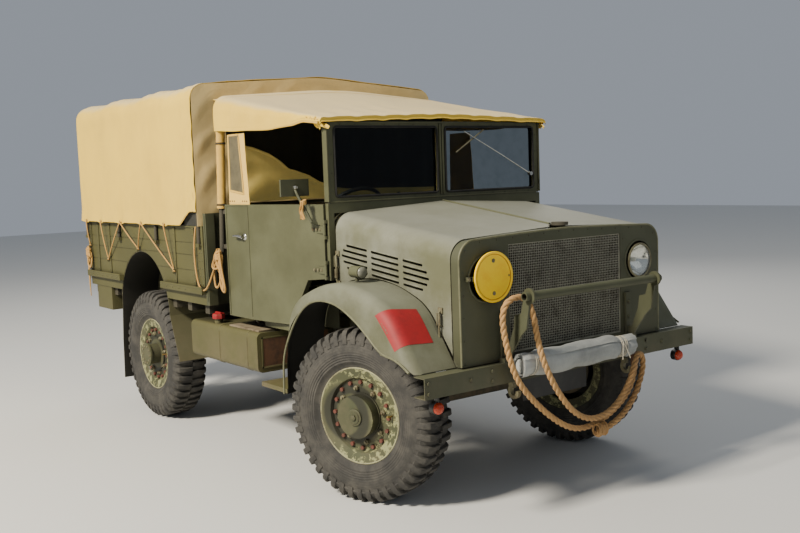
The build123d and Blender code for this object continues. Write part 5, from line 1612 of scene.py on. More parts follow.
SIDE_GLASS = [(0.0, 0.0), (0.0, 0.0285), (0.004, 0.0280), (0.010, 0.0235), (0.0145, 0.0135), (0.0155, 0.0)]
COLLAR = [
    (0.0, 0.0), (0.0, 0.0305), (0.024, 0.0310), (0.027, 0.0322), (0.030, 0.0318), (0.0315, 0.0290),
    (0.0315, 0.0),
]
LENS_DOME = [(0.0275 * math.sin(a), 0.0285 * math.cos(a)) for a in (step * math.pi / 20 for step in range(10))]
LENS_DOME = [(0.0, 0.0)] + LENS_DOME + [(0.0275, 0.0)]


def pair_of(profile, x, y, z, steps):
    """The profile turned at the same place on both sides of the truck."""
    shape = bmesh.new()
    for side in (-1, 1):
        add_turned(shape, profile, facing((x, side * y, z), AHEAD), steps)
    return shape


print(len(LAMP_SHELL), "points in the lamp shell's profile")

# %% Head lamp: shell, fluted glass, bulb and painted bezel
NOSE_FACE, LAMP_Y, LAMP_Z = 2.050, 0.556, 1.176
lamp_place = facing((NOSE_FACE, LAMP_Y, LAMP_Z), AHEAD)
shape = made(add_turned, LAMP_SHELL, lamp_place, 48)
stand("dressed_head_lamp", shape, reflector, "chassis", "lamp_metal", "head_lamp", crease=30, recalc=True)
shape = made(add_turned, LAMP_GLASS, lamp_place, 72)
for vert in shape.verts:
    if vert.co.x > NOSE_FACE + 0.0065:
        vert.co.x += 0.0009 * math.cos((vert.co.y - LAMP_Y) * 520)
stand("head_lamp_glass", shape, lens_glass, "chassis", "glass", crease=60, recalc=True)
shape = made(add_turned, LAMP_BULB, lamp_place, 16)
stand("head_lamp_bulb", shape, frosted_bulb, "chassis", "glass", crease=60, recalc=True)
shape = made(add_turned, LAMP_BEZEL, lamp_place, 48)
stand("head_lamp_bezel", shape, nut_steel, "chassis", "lamp_metal", crease=50, weld=True)
print("head lamp")

# %% Bowl rims: a dark ring round each lamp bowl and the beading round the nose
shape = pair_of(BOWL_RIM, NOSE_FACE, LAMP_Y, LAMP_Z, 64)
stand("bowl_rims", shape, front_paint, "chassis", "olive_paint", crease=50, weld=True)
nose_outline = rounded(
    [
        (-0.720, 0.772), (-0.720, 1.362), (-0.300, 1.378), (0, 1.386),
        (0.300, 1.378), (0.720, 1.362), (0.720, 0.772),
    ],
    [0.095, 2.0, 2.6, 2.0, 0.095], 10,
)
bead = spaced([Vector((2.0475, p.x, p.y)) for p in nose_outline], 0.018)
stand("nose_bead", made(add_rod, bead, 0.0055, 8), edge_paint, "chassis", "olive_paint", crease=60)
screw_line = [Vector((2.0502, p.x * 0.972, 1.07 + (p.y - 1.07) * 0.955)) for p in nose_outline]
nose_screws = [(point, AHEAD) for point in spaced(screw_line, 0.105)]
for y in (-0.432, 0.432):
    nose_screws += [(Vector((2.0502, y, z)), AHEAD) for z in (0.83, 0.95, 1.07, 1.19, 1.30)]
heads("nose_screws", nose_screws, front_paint, "chassis", "olive_paint", 0.0062, 0.0026, 12, 0.7)
print(len(nose_screws), "screws round the nose")

# %% Yellow disc: a pressed plate with a raised rim, a darker ring inside it as painted shade, and two bolts on its bar
disc_place = facing((NOSE_FACE, -0.530, 1.184), AHEAD)
shape = made(add_turned, DISC, disc_place, 72)
stand("dressed_disc", shape, yellow_enamel, "chassis", "yellow_paint", "class_disc", crease=40, recalc=True)
# Painted shade: a darker yellow ring stands for the shade inside the raised rim.
shade_ring = [disc_place @ Vector((0.1085 * math.cos(a), 0.1085 * math.sin(a), 0.0272)) for a in circle(72)]
shape = made(add_rod, shade_ring, 0.0022, 5, closed=True)
stand("disc_groove", shape, groove_yellow, "chassis", "yellow_paint", crease=60)
shape = made(add_block, mm(2066, -690, 1173), mm(2072, -421, 1195), 0.0015)
for y in (-556 - 118, -556 + 118):
    add_block(shape, mm(2050, y - 13, 1173), mm(2072, y + 13, 1195), 0.0015)
stand("disc_bar", shape, front_paint, "chassis", "olive_paint")
bolt_places = ((2076.4, -530, 1262), (2076.4, -530, 1106), (2072, -681, 1184), (2072, -430, 1184))
disc_bolts = [(mm(*place), AHEAD) for place in bolt_places]
heads("disc_bolts", disc_bolts, nut_steel, "chassis", "yellow_paint", 0.0075, 0.0045, 6, 0.2, 0.0105)
print("disc and bar")

# %% Side lamps' glasses, indicator lamps and their collars
shape = pair_of(SIDE_GLASS, 1.442, 0.846, 1.196, 28)
stand("side_lamp_glasses", shape, side_lens, "chassis", "glass", crease=60, recalc=True)
shape = pair_of(COLLAR, 2.028, 0.880, 0.609, 28)
for side in (-1, 1):
    add_side_block(shape, side, (2.035, 2.065), (0.876, 0.884), (0.632, 0.667), 0.001)
stand("indicator_collars", shape, black_enamel, "chassis", "black_enamel", crease=40, recalc=True)
shape = pair_of(LENS_DOME, 2.0585, 0.880, 0.609, 32)
stand(
    "indicator_lenses", shape, orange_lens, "chassis", "orange_lens", "indicator_lamps", crease=60, recalc=True,
)
print("side lamps and indicators")

# %% [markdown]
# ## The rolled muff on the bumper
# A grey canvas muff is rolled up and tied along the bumper with turns of twine. The roll is one
# long strip wound on itself, drawn in nearly where each string bites.

# %% Canvas roll
ROLL_PLACE, ROLL_HALF = Vector((2.1405, -0.030, 0.750)), 0.408
ROLL_RADIUS, ROLL_WIDE, ROLL_HIGH = 0.0560, 0.90, 1.14
ROLL_TIES = [-0.330, 0.292, 0.322]


def roll_way(angle, radius):
    """A point of the roll's section: it is pressed a little flat against the bumper."""
    return Vector((math.cos(angle) * radius * ROLL_WIDE, 0, math.sin(angle) * radius * ROLL_HIGH))


roll_rows = []
for step in range(121):
    y = -ROLL_HALF + 2 * ROLL_HALF * step / 120
    bite = sum(math.exp(-((y - tie) / 0.030) ** 2) for tie in ROLL_TIES)
    end = max(0.0, abs(y) - 0.33) / 0.078
    bend = Vector((0, y, 0.003 * math.sin(y * 11)))
    row = []
    for turn_step in range(97):
        angle = 2 * math.pi * 2.3 * turn_step / 96
        radius = ROLL_RADIUS - 0.0052 * (angle / (2 * math.pi)) - 0.011 * min(1.0, bite) - 0.008 * end
        crease = ripple(y * 1.3, math.cos(angle), math.sin(angle), 3.2, 4)
        wave = math.sin(y * 26 + 2.5 * math.cos(angle) + 3 * crease)
        radius += 0.0045 * wave * (0.4 + 0.6 * math.sin(angle * 0.5) ** 2)
        radius += 0.0035 * crease + 0.0014 * ripple(y * 3, math.cos(angle) * 2, math.sin(angle) * 2, 5, 9)
        row.append(ROLL_PLACE + roll_way(angle + 0.6, min(radius, ROLL_RADIUS + 0.002)) + bend)
    roll_rows.append(row)
roll_mesh = grid_mesh("roll", roll_rows, 0.0022, -1.0)
roll = stand("dressed_canvas_roll", roll_mesh, grey_cloth, "chassis", "grey_canvas", "canvas_roll")
shape = bmesh.new()
for tie in ROLL_TIES:
    for lap in range(2):
        ring = []
        for angle in circle(24):
            slant = tie + 0.008 * (lap - 0.5) + 0.006 * math.sin(angle + lap)
            way = roll_way(angle, ROLL_RADIUS - 0.0085)
            ring.append(ROLL_PLACE + way + Vector((0, slant, 0.003 * math.sin(tie * 11))))
        add_rod(shape, ring, 0.0023, 6, closed=True)
for lean in (-1, 1):  # the ends of the knotted string hang down
    start = ROLL_PLACE + roll_way(0.5, ROLL_RADIUS - 0.006)
    fall = [Vector((0.004 * s, 0.300 + lean * 0.006 * s, -0.012 * s - 0.001 * s * s)) for s in range(6)]
    add_rod(shape, [start + way for way in fall], 0.0019, 6)
roll_twine = stand("roll_twine", shape, pale_string, "chassis", "rope", crease=60)
core_ends = [ROLL_PLACE + Vector((0, y, 0)) for y in (-0.400, 0.400)]
stand("roll_core", made(add_rod, core_ends, 0.0330, 20), grey_cloth, "chassis", "grey_canvas", crease=60)
print("roll tied with", len(ROLL_TIES), "strings")

# %% [markdown]
# ## Windscreen
# Two flat panes sit in black rubber. The middle post is double, and a single wiper reaches
# over the left pane from its pivot on the outer post.

# %% Rubber seals, post strips and wiper
PANE_LOW, PANE_HIGH = 1.5725, 1.9485


def framed(shape, x, y_low, y_high, width, depth, corner):
    """A rounded rectangular ring round a pane, lying in a YZ plane."""
    line = rounded([
        (y_low + 0.1, PANE_LOW), (y_high, PANE_LOW), (y_high, PANE_HIGH), (y_low, PANE_HIGH), (y_low, PANE_LOW),
        (y_low + 0.1001, PANE_LOW),
    ], [corner] * 4, 6)
    path = [Vector((x, p.x, p.y)) for p in line[:-1]]
    add_rod(shape, path, width, 8, closed=True, squeeze=depth)


shape = bmesh.new()
for y_low, y_high in ((-0.743, -0.030), (0.030, 0.743)):
    for x in (1.0775, 1.0465):
        framed(shape, x, y_low, y_high, 0.0075, 0.8, 0.020)
stand("pane_seals", shape, seal_rubber, "chassis", "black_enamel", crease=60)
shape = bmesh.new()
for low, high in (
    ((1076, -16, 1560), (1083, -3, 1966)), ((1076, 3, 1560), (1083, 16, 1966)),
    ((1074, -782, 1543), (1080, 782, 1553)), ((1074, -780, 1968), (1080, 780, 1976)),
    ((1040, -795, 1548), (1084, -785, 1976)), ((1040, 785, 1548), (1084, 795, 1976)),
):
    add_block(shape, mm(*low), mm(*high))
stand("screen_strips", shape, body_paint, "chassis", "olive_paint")
shape = bmesh.new()
pivot, tip = mm(1086, 708, 1660), mm(1094, 166, 1921)
add_rod(shape, [mm(1074, 708, 1660), mm(1097, 708, 1660)], 0.012, 14)
add_rod(shape, [pivot, pivot.lerp(tip, 0.5) + Vector((0.006, 0, 0)), tip], [0.0042, 0.0034, 0.0026], 8)
stand("wiper_arm", shape, bright_metal, "chassis", "lamp_metal")
blade = made(add_rod, [mm(1088, 104, 1800), mm(1088, 322, 1930)], 0.0042, 6)
stand("wiper_blade", blade, nut_steel, "chassis", "black_enamel")
screen_rivets = []
for side in (-1, 1):
    places = [(0.764, z) for z in (1.60, 1.70, 1.80, 1.90)]
    places += [(0.10 + step * 0.10, z) for step in range(7) for z in (1.9605, 1.5560)]
    screen_rivets += [(Vector((1.0770, side * y, z)), AHEAD) for y, z in places]
heads("screen_rivets", screen_rivets, body_paint, "chassis", "olive_paint", 0.0048, 0.0022, 10, 0.8)
print(len(screen_rivets), "rivets round the windscreen")

# %% Windscreen panes of tinted glass, faintly clouded
panes = bmesh.new()
for side in (-1, 1):
    middle = side * 0.3865
    add_block(panes, (1.0595, middle - 0.3555, PANE_LOW), (1.0640, middle + 0.3555, PANE_HIGH), 0.0)
stand("dressed_panes", panes, pane_glass, "chassis", "glass", "windscreen_glass")
print("two panes")

# %% [markdown]
# ## Body fittings
# Strap irons, corner plates, ledge caps and rows of rivets hold the planked body together.

# %% Strap irons, corner plates and ledge caps
STRAP_XS = (-0.330, -0.620, -1.80, -2.04)
BOARD_FACE = 0.926  # Y of the side boards' outer face
GATE_STRAPS = [-0.84 + step * 0.42 for step in range(5)]

shape = bmesh.new()
for side in (-1, 1):
    for x in STRAP_XS:
        add_side_block(
            shape, side, (x - 0.017, x + 0.017), (BOARD_FACE, BOARD_FACE + 0.006), (1.012, 1.396), 0.0015
        )
    for rear_x in (-0.262, -2.246):
        front_x = rear_x + (0.080 if rear_x > -1 else 0.070)
        add_side_block(shape, side, (rear_x, front_x), (BOARD_FACE, BOARD_FACE + 0.007), (1.012, 1.398))
    add_side_block(shape, side, (-2.246, -0.182), (BOARD_FACE, BOARD_FACE + 0.008), (1.388, 1.400))
    for start, end in ((-0.184, -0.824), (-1.566, -2.240)):
        for z, radius in ((1.0055, 0.008), (0.9700, 0.006)):
            add_rod(shape, [(start, side * 0.952, z), (end, side * 0.952, z)], radius, 10)
    add_side_block(shape, side, (-0.161, -0.152), (0.884, 0.926), (0.92, 1.47))
stand("body_irons", shape, cargo_paint, "chassis", "olive_paint")
shape = bmesh.new()
for y in GATE_STRAPS:
    add_block(shape, (-2.2905, y - 0.020, 0.945), (-2.2845, y + 0.020, 1.392), 0.0015)
add_block(shape, (-2.2895, -0.918, 1.376), (-2.2845, 0.918, 1.396), 0.0015)
stand("tailgate_irons", shape, cargo_paint, "tail_gate", "olive_paint")
print(2 * len(STRAP_XS) + len(GATE_STRAPS), "strap irons")

# %% Rivets and bolts of the body, one mesh for each body that carries them
rivets = []
for side in (-1, 1):
    places = [(x, 0.9322, z) for x in STRAP_XS for z in (1.035, 1.085, 1.16, 1.25, 1.34, 1.378)]
    places += [(x, 0.9332, 1.030 + step * 0.050) for x in (-0.240, -0.204, -2.230, -2.192) for step in range(8)]
    places += [(first - 0.10 * i, 0.9585, 0.988) for first, count in ((-0.42, 4), (-1.62, 6)) for i in range(count)]
    rivets += [(Vector((x, side * y, z)), (0, side, 0)) for x, y, z in places]
    rivets += [(Vector((-0.1515, side * 0.905, 0.95 + step * 0.062)), AHEAD) for step in range(9)]
gate_rivets = [
    (Vector((-2.2907, y, z)), (-1, 0, 0)) for y in GATE_STRAPS for z in (0.965, 1.06, 1.16, 1.26, 1.36)
]
heads("body_rivets", rivets, cargo_paint, "chassis", "olive_paint", 0.0065, 0.0038, 10, 0.8)
heads("tailgate_rivets", gate_rivets, cargo_paint, "tail_gate", "olive_paint", 0.0065, 0.0038, 10, 0.8)
print(len(rivets) + len(gate_rivets), "rivets on the body")

# %% Bolts on the bumper, guard, springs and chassis
bolts = []
for side in (-1, 1):
    bumper = [(0.955, 0.690), (0.955, 0.738), (0.700, 0.715), (0.565, 0.690), (0.565, 0.738)]
    frame_side = [(x, 0.4005, z) for x in (-2.10, -1.70, -1.40, -0.80, -0.40, 0.10, 0.50) for z in (0.675, 0.745)]
    step_side = [(x, 0.8302, 0.834) for x in (0.30, 0.70)]
    bolts += [(Vector((2.0882, side * y, z)), AHEAD) for y, z in bumper]
    bolts += [(Vector((2.0645, side * 0.455, z)), AHEAD) for z in (0.80, 0.88, 0.96)]
    bolts += [(Vector((x, side * y, z)), (0, side, 0)) for x, y, z in frame_side + step_side]
heads("frame_bolts", bolts, front_paint, "chassis", "chassis_paint", 0.0100, 0.0070, 6, 0.1, 0.0135)
print(len(bolts), "bolts on the frame")

# %% Rolled edge along each front wing's opening
WING_EDGE = [  # X, Z
    (1.985, 0.776), (1.905, 0.826), (1.771, 0.834), (1.66, 0.918), (1.559, 0.981), (1.42, 1.041), (1.285, 1.057),
    (1.16, 1.038), (1.061, 0.984), (0.96, 0.880), (0.862, 0.726), (0.849, 0.600), (0.846, 0.500),
]
shape = bmesh.new()
for side in (-1, 1):
    add_rod(shape, spline_line("wing_edge", [(x, side * 0.9855, z) for x, z in WING_EDGE], 4), 0.0060, 8)
stand("wing_edges", shape, edge_paint, "chassis", "olive_paint", crease=60)

# %% [markdown]
# ## Bonnet and door fittings
# Each bonnet half is held down by two long spring clips. The doors carry a bright
# handle, strap hinges and a raised edge.

# %% Bonnet clips and the rivets along the hinge
BONNET_REAR_X = 1.082
CLIPS = [(1.094, 1.110, 1.271, 0.7580), (1.910, 0.790, 1.031, 0.7235)]  # X, lowest and highest Z, Y
for side, name in SIDES:
    bonnet = f"{name}_bonnet"
    shape = bmesh.new()
    for x, low, high, y in CLIPS:
        def at(along, out, z):
            return Vector((x + along, side * (y + out), z))

        rod = [at(0, 0.002, high), at(0.002, 0.016, high - 0.010), at(0, 0.014, low + 0.020), at(0, 0.003, low)]
        add_rod(shape, rod, 0.0048, 8)
        staple = [(0.011, 0.002, 0.075), (0.011, 0.018, 0.070), (0.009, 0.018, 0.012)]
        staple += [(-along, out, down) for along, out, down in reversed(staple)]
        add_rod(shape, [at(along, out, high - down) for along, out, down in staple], 0.0030, 6)
        add_rod(shape, [
            at(0.010 * math.cos(turn), 0.014 + 0.010 * math.sin(turn), low + 0.030 + 0.0055 * turn / (2 * math.pi))
            for turn in (step * math.pi / 5 for step in range(90))
        ], 0.0017, 5)
        for z in (low, high):
            foot_xs, foot_zs = (x - 0.016, x + 0.016), (z - 0.014, z + 0.014)
            add_side_block(shape, side, foot_xs, (y - 0.001, y + 0.006), foot_zs, 0.001)
    stand(f"bonnet_clips_{name}", shape, nut_steel, bonnet, "olive_paint")
    crease_rivets = []
    for x in (1.10 + step * 0.078 for step in range(12)):
        z = 1.5225 - 0.1419 * (x - BONNET_REAR_X) - 0.004
        crease_rivets.append((Vector((x, side * 0.030, z)), (0.14, side * 0.05, 1)))
    heads(f"bonnet_rivets_{name}", crease_rivets, bonnet_paint, bonnet, "olive_paint", 0.0055, 0.0028, 10, 0.8)
print(len(CLIPS), "clips a side")

# %% Louvre hoods: a pressed lip over every slot of the bonnet sides
LOUVRE_ENDS = [  # first and last X of the slots, row by row
    [(1.172, 1.350), (1.140, 1.350), (1.126, 1.350), (1.140, 1.350), (1.172, 1.350)],
    [(1.381, 1.604)] * 5,
    [(1.636, 1.786), (1.636, 1.818), (1.636, 1.832), (1.636, 1.818), (1.636, 1.786)],
]
LOUVRES = [(first, last, row) for group in LOUVRE_ENDS for row, (first, last) in enumerate(group)]
LOUVRE_SLOPE, LOUVRE_PITCH = 0.125, 0.030
LIP = [(0.0003, 0.0125), (0.0022, 0.0112), (0.0034, 0.0090), (0.0036, 0.0072), (0.0026, 0.0058)]  # out, up
LIP_STEPS = 16
for side, name in SIDES:
    skin = BVHTree.FromObject(nodes[f"bonnet_{name}"], bpy.context.evaluated_depsgraph_get())
    shape = bmesh.new()
    for first_x, last_x, row in LOUVRES:
        rows = []
        middle_x = (first_x + last_x) / 2
        slot_z = 1.322 - LOUVRE_SLOPE * (middle_x - 1.130) - LOUVRE_PITCH * row
        for step in range(LIP_STEPS + 1):
            x = first_x + 0.004 + (last_x - first_x - 0.008) * step / LIP_STEPS
            z = slot_z - LOUVRE_SLOPE * (x - middle_x)
            found = skin.ray_cast(Vector((x, side * 0.90, z + 0.0130)), Vector((0, -side, 0)), 0.3)[0]
            y = abs(found.y) if found else 0.758 - 0.042 * (x - BONNET_REAR_X)
            end = min(1.0, min(step, LIP_STEPS - step) / 2.5)
            rows.append([Vector((x, side * (y + out * end), z + rise)) for out, rise in LIP])
        hood = grid_mesh("hood", rows, 0.0014, 1.0 if side > 0 else -1.0, 60)
        shape.from_mesh(hood)
        bpy.data.meshes.remove(hood)
    stand(f"louvre_hoods_{name}", shape, bonnet_paint, f"{name}_bonnet", "olive_paint", crease=60)
print(len(LOUVRES), "louvres a side")

# %% Door handles, straps and edge strips
ESCUTCHEON = [(0.0, 0.0), (0.0, 0.021), (0.004, 0.019), (0.006, 0.011), (0.024, 0.010), (0.028, 0.0)]
LEVER = [(0.306, 0.914, 1.346), (0.285, 0.918, 1.350), (0.240, 0.917, 1.353), (0.196, 0.913, 1.350)]
for side, name in SIDES:
    door = f"{name}_door"
    shape = made(add_turned, ESCUTCHEON, facing((0.300, side * 0.8905, 1.345), (0, side, 0)), 20)
    lever = [(x, side * y, z) for x, y, z in LEVER]
    add_rod(shape, lever, [0.0085, 0.0092, 0.0078, 0.0055], 12, squeeze=0.7)
    stand(f"door_handle_{name}", shape, bright_metal, door, "lamp_metal", crease=50)
    straps = [
        (Vector((x, side * (0.890 - 0.085 * (x - 0.350) / 0.690 + 0.0085), z)), (0.12, side, 0))
        for z in (1.180, 1.400) for x in (0.955, 0.985, 1.015)
    ]
    heads(f"hinge_bolts_{name}", straps, nut_steel, door, "olive_paint", 0.0065, 0.0040, 6, 0.2, 0.009)
    shape = bmesh.new()
    add_side_block(shape, side, (0.068, 0.080), (0.8865, 0.8935), (0.862, 1.530), 0.0015)
    add_side_block(shape, side, (0.070, 0.345), (0.8855, 0.8925), (1.524, 1.534), 0.0015)
    add_rod(shape, [(0.350, side * 0.8905, 0.870), (0.350, side * 0.8905, 1.528)], 0.0032, 8)
    stand(f"door_edges_{name}", shape, body_paint, door, "olive_paint")
print("doors fitted")

# %% Mirror: dark plate, bright clamp, tied rag
CLAMP = [(0.0, 0.0), (0.0, 0.011), (0.010, 0.011), (0.013, 0.007), (0.020, 0.006), (0.020, 0.0)]
shape = made(add_turned, CLAMP, facing((0.911, -0.897, 1.632), AHEAD), 14)
add_block(shape, mm(909, -909, 1624), mm(917, -885, 1640), 0.002)
stand("mirror_clamp", shape, bright_metal, "right_door", "lamp_metal")
rows = []
for share in (step / 14 for step in range(15)):
    middle = mm(962, -878, 1528) + Vector((0.004 * math.sin(share * 9), 0, -0.090 * share + 0.022))
    half_width = 0.008 + 0.017 * share
    rows.append([
        middle + Vector((
            (across - 4) / 4 * half_width, -0.014 - 0.006 * math.sin(across * 2.3 + share * 4),
            0.004 * math.cos(across * 3),
        ))
        for across in range(9)
    ])
rag = bmesh.new()
rag.from_mesh(grid_mesh("rag", rows, 0.003, 0.0))
for lap in range(4):
    ring = [
        mm(958, -877, 1541) + Vector((0.014 * math.cos(a), 0.014 * math.sin(a), 0.006 * lap + 0.004 * math.sin(a)))
        for a in circle(16)
    ]
    add_rod(rag, ring, 0.0045, 7, closed=True)
stand("mirror_rag", rag, sand_twine, "right_door", "rope", crease=60)
print("mirror fitted")

# %% [markdown]
# ## Lashings
# Thin rope ties the tilt's hem to hooks on the body. Each length runs from an eyelet to a hook
# and back, so the lashing zigzags along the side.

# %% Eyelets, hooks and lashing ropes
HOOK_HEIGHTS = {-2.190: 1.205, -1.814: 1.109, -1.218: 1.212, -0.621: 1.087}
LASHINGS = [  # X of the eyelet and of the hook
    (-2.180, -2.190), (-1.873, -1.814), (-1.478, -1.814), (-1.478, -1.218), (-1.088, -1.218), (-1.088, -0.621),
    (-0.700, -0.621),
]
HOOK_BEND = [(0.927, 0.020), (0.944, 0.016), (0.951, 0.0), (0.946, -0.010), (0.936, -0.006)]  # Y, rise
EYELET = [
    (0.0, 0.0075), (0.0020, 0.0085), (0.0026, 0.0105), (0.0018, 0.0130), (0.0, 0.0138), (-0.0005, 0.0105),
    (0.0, 0.0075),
]
LASHING_RADIUS = 0.0047
shape, hooks, rings = bmesh.new(), bmesh.new(), bmesh.new()
for side in (-1, 1):
    for eyelet_x, hook_x in LASHINGS:
        top = Vector((eyelet_x, side * 0.966, 1.404))
        foot = Vector((hook_x, side * 0.940, HOOK_HEIGHTS[hook_x] + 0.006))
        path = [top + Vector((0, -side * 0.010, 0.004)), top]
        for share in (step / 12 for step in range(1, 12)):
            path.append(top + (foot - top) * share + Vector((0, side * 0.004 * math.sin(math.pi * share), 0)))
        add_rod(shape, path + [foot], LASHING_RADIUS, 7)
    for hook_x, hook_z in HOOK_HEIGHTS.items():
        add_rod(hooks, [(hook_x, side * y, hook_z + rise) for y, rise in HOOK_BEND], 0.0042, 8)
        knot = [
            Vector((
                hook_x + 0.011 * math.cos(a), side * (0.942 + 0.006 * math.sin(a)),
                hook_z + 0.004 + 0.004 * math.sin(2 * a),
            ))
            for a in circle(14)
        ]
        add_rod(shape, knot, LASHING_RADIUS, 7, closed=True)
    for eyelet_x in EYELETS:
        add_turned(rings, EYELET, facing((eyelet_x, side * 0.9635, 1.404), (0, side, 0)), 16)
stand("hem_eyelets", rings, brass, "chassis", "tilt_canvas", crease=60, weld=True)
stand("lashing_hooks", hooks, cargo_paint, "chassis", "olive_paint", crease=60)
stand("lashings", shape, sand_twine, "chassis", "rope", crease=60)
print(len(LASHINGS), "lashings a side")


# %% Spare rope in two hanks a side: on the pole's foot and at the rear corner
def hank(shape, top, width, drop, loops, thickness, depth, seed):
    """Loose loops of rope that hang from a lump of turns wound round their neck."""
    for loop in range(loops):
        lean = width * 0.30 * math.sin(loop * 2.4 + seed)
        long = drop * (0.70 + 0.30 * math.sin(loop * 1.7 + seed * 2))
        half = width * (0.20 + 0.14 * math.sin(loop * 3.1 + seed))
        path = []
        for angle in circle(32):
            down = 0.5 - 0.5 * math.cos(angle)
            path.append(top + Vector((
                lean * down + half * math.sin(angle) * (0.35 + 0.65 * down)
                + 0.006 * math.sin(angle * 3 + loop * 2),
                depth * (0.4 + 0.9 * math.sin(loop * 2.0 + angle)),
                -long * down + 0.010 * math.sin(angle * 2 + loop),
            )))
        add_rod(shape, path, thickness, 8, closed=True)
    for lap in range(7):
        tip_over = 0.7 * math.sin(lap * 2.3 + seed)
        add_rod(shape, [
            top + Vector((
                0.024 * math.cos(a), 0.015 * math.sin(a) + depth / 2,
                -0.018 - 0.0062 * lap + 0.024 * tip_over * math.cos(a),
            ))
            for a in circle(18)
        ], thickness, 8, closed=True)


SLACK = [  # the loose end from the tilt's corner down to the front hank
    (-262, 938, 1395), (-285, 944, 1300), (-290, 944, 1160), (-262, 942, 1030), (-200, 944, 985), (-130, 940, 1010),
    (-70, 925, 1120), (-20, 912, 1215),
]
TAIL = [(-2215, 948, 1180), (-2222, 950, 1050), (-2226, 950, 900), (-2224, 948, 800)]
shape = bmesh.new()
for side in (-1, 1):
    hank(shape, mm(-6, side * 912, 1252), 0.190, 0.260, 6, 0.0068, side * 0.012, 1.0)
    add_rod(shape, spline_line("slack", [mm(x, side * y, z) for x, y, z in SLACK], 6), 0.0060, 7)
stand("rope_hanks_front", shape, sand_twine, "chassis", "rope", crease=60)
shape = bmesh.new()
for side in (-1, 1):
    hank(shape, mm(-2205, side * 947, 1190), 0.110, 0.170, 5, 0.0064, side * 0.009, 2.5)
    add_rod(shape, [mm(x, side * y, z) for x, y, z in TAIL], [0.007, 0.008, 0.006, 0.003], 7)
stand("rope_hanks_rear", shape, sand_twine, "chassis", "rope", crease=60)
print("four hanks of rope")

# %% [markdown]
# ## Signs and the filler cap
# The square on the right wing is blank red. It is laid on the wing's own skin, point by point.

# %% Red square and red filler cap
SQUARE = [
    (1.7345, -0.9855, 1.0181), (1.8019, -0.7883, 1.0346), (1.9265, -0.7892, 0.8862), (1.8819, -0.9855, 0.8625),
]
SQUARE_STEPS = 14
corners = [Vector(corner) for corner in SQUARE]
wing_skin = BVHTree.FromObject(nodes["front_wings"], bpy.context.evaluated_depsgraph_get())
out_way = (corners[1] - corners[0]).cross(corners[3] - corners[0]).normalized()
if out_way.z < 0:
    out_way = -out_way
rows = []
for across in range(SQUARE_STEPS + 1):
    top = corners[0].lerp(corners[1], across / SQUARE_STEPS)
    foot = corners[3].lerp(corners[2], across / SQUARE_STEPS)
    row = []
    for down in range(SQUARE_STEPS + 1):
        point = top.lerp(foot, down / SQUARE_STEPS)
        found = wing_skin.ray_cast(point + out_way * 0.10, -out_way, 0.2)[0]
        row.append((found or point) + out_way * 0.0012)
    rows.append(row)
stand("red_square", grid_mesh("red_square", rows, 0.0008, 0.0), red_enamel, "chassis", None)
CAP = [(0.0, 0.0415), (0.010, 0.0420), (0.022, 0.0415), (0.030, 0.0380), (0.033, 0.0300), (0.034, 0.0)]
shape = made(add_turned, CAP, facing((-0.120, -0.880, 0.8150), (0, 0, 1)), 8)
add_block(shape, (-0.156, -0.886, 0.846), (-0.084, -0.874, 0.856), 0.002)
stand("filler_cap", shape, red_enamel, "chassis", None, crease=40, recalc=True)
print("square and cap")

# %% Fittings of the right tank: two straps, worn boards on its top and a rusty panel in its front end
TANK_OUTER, TANK_LOW, TANK_TOP = -0.934, 0.550, 0.786
STRAP_INNER, STRAP_TURN = -0.46, 0.034
PANEL_EDGES = [  # lowest and highest corners, Y and Z
    ((-0.906, 0.574), (-0.894, 0.762)), ((-0.442, 0.574), (-0.430, 0.762)),
    ((-0.906, 0.750), (-0.430, 0.762)), ((-0.906, 0.574), (-0.430, 0.586)),
]


def off_tank(point):
    """The way out of the tank's skin at a point of a strap."""
    if point.z > TANK_TOP - 0.001:
        return Vector((0, 0, 1))
    if point.z < TANK_LOW + 0.001:
        return Vector((0, 0, -1))
    if point.y < TANK_OUTER + 0.001:
        return Vector((0, -1, 0))
    inward = min(0.0, point.y - TANK_OUTER - STRAP_TURN)
    return Vector((0, inward, point.z - (TANK_LOW + TANK_TOP) / 2)).normalized()


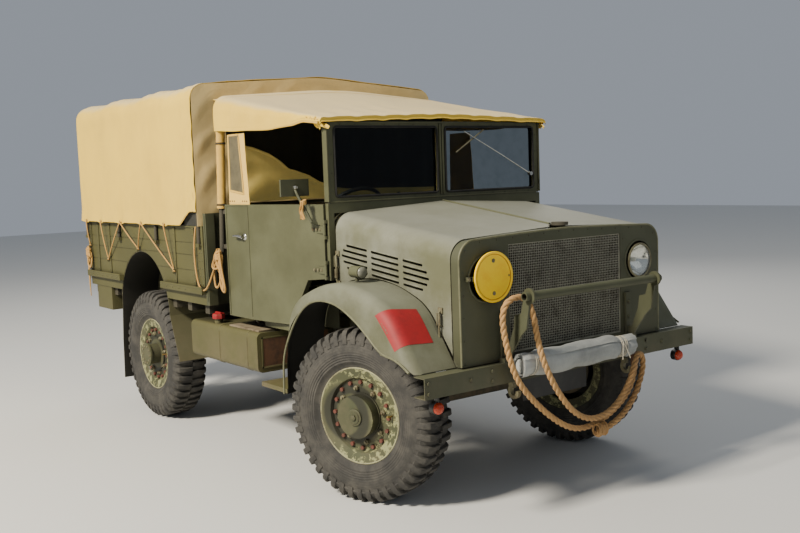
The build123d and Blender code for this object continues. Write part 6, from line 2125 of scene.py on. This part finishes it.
shape = bmesh.new()
strap_line = rounded(
    [(STRAP_INNER, TANK_TOP), (TANK_OUTER, TANK_TOP), (TANK_OUTER, TANK_LOW), (STRAP_INNER, TANK_LOW)],
    [STRAP_TURN] * 2, 6,
)
for x in (-0.030, 0.330):
    strap = spaced([Vector((x, p.x, p.y)) for p in strap_line], 0.012)
    ribbon(shape, strap, [off_tank(point) for point in strap], 0.036, 0.0035)
for low, high in PANEL_EDGES:
    add_block(shape, (0.462, *low), (0.4685, *high), 0.0015)
stand("tank_straps", shape, cargo_paint, "chassis", "olive_paint")
shape = bmesh.new()
for inner, outer in ((-0.900, -0.790), (-0.782, -0.672), (-0.664, -0.560)):
    add_block(shape, (0.060, inner, TANK_TOP), (0.430, outer, TANK_TOP + 0.011))
stand("tank_boards", shape, board_wood, "chassis", None)
end_panel = made(add_block, (0.464, -0.896, 0.584), (0.4668, -0.440, 0.752), 0.0)
stand("tank_end_panel", end_panel, rusty_steel, "chassis", "chassis_paint")
print("fasteners", fastener_count)

# %% [markdown]
# ## The carried nodes
# The CAD nodes that stay in view get their finish here. The others are covered by their pieces.

# %% Give each carried node its finish
NODE_FINISHES = [
    (body_paint, "scuttle cab_tub cab_back seat_boxes windscreen_frame door_right door_left side_lamps bonnet_strip"),
    (wing_paint, "front_wings"),
    (mudguard_paint, "rear_mudguards"),
    (bonnet_paint, "bonnet_right bonnet_left"),
    (front_paint, "nose_panel front_bumper guard_bar mirror headboard"),
    (cargo_paint, "body_sides tailgate cargo_floor lockers fuel_tank steps"),
    (nut_steel, "tow_hooks"),
    (chassis_paint, "chassis_frame leaf_springs front_axle rear_axle engine_block knuckle_right knuckle_left "
                    "tie_rod radiator_core tilt_hoops canopy_hoop floor_bearers grille_mesh"),
    (wheel_paint, "wheel_front_right wheel_front_left wheel_rear_right wheel_rear_left"),
    (tyre_rubber, "tyre_front_right tyre_front_left tyre_rear_right tyre_rear_left"),
    (tilt_cloth, "tilt_canvas cab_canopy side_screen_right side_screen_left"),
    (grey_cloth, "canvas_roll"),
    (rope_fibre, "tow_rope"),
    (seat_cloth, "seats"),
    (pane_glass, "windscreen_glass"),
    (bright_metal, "head_lamp"),
    (yellow_enamel, "class_disc"),
    (orange_lens, "indicator_lamps"),
    (black_enamel, "steering_wheel number_plate"),
    (rusty_steel, "exhaust"),
]
finished = 0
for finish, names in NODE_FINISHES:
    for name in names.split():
        for held in nodes[name].material_slots:
            held.material = finish
        finished += 1
print(finished, "nodes have their finish")
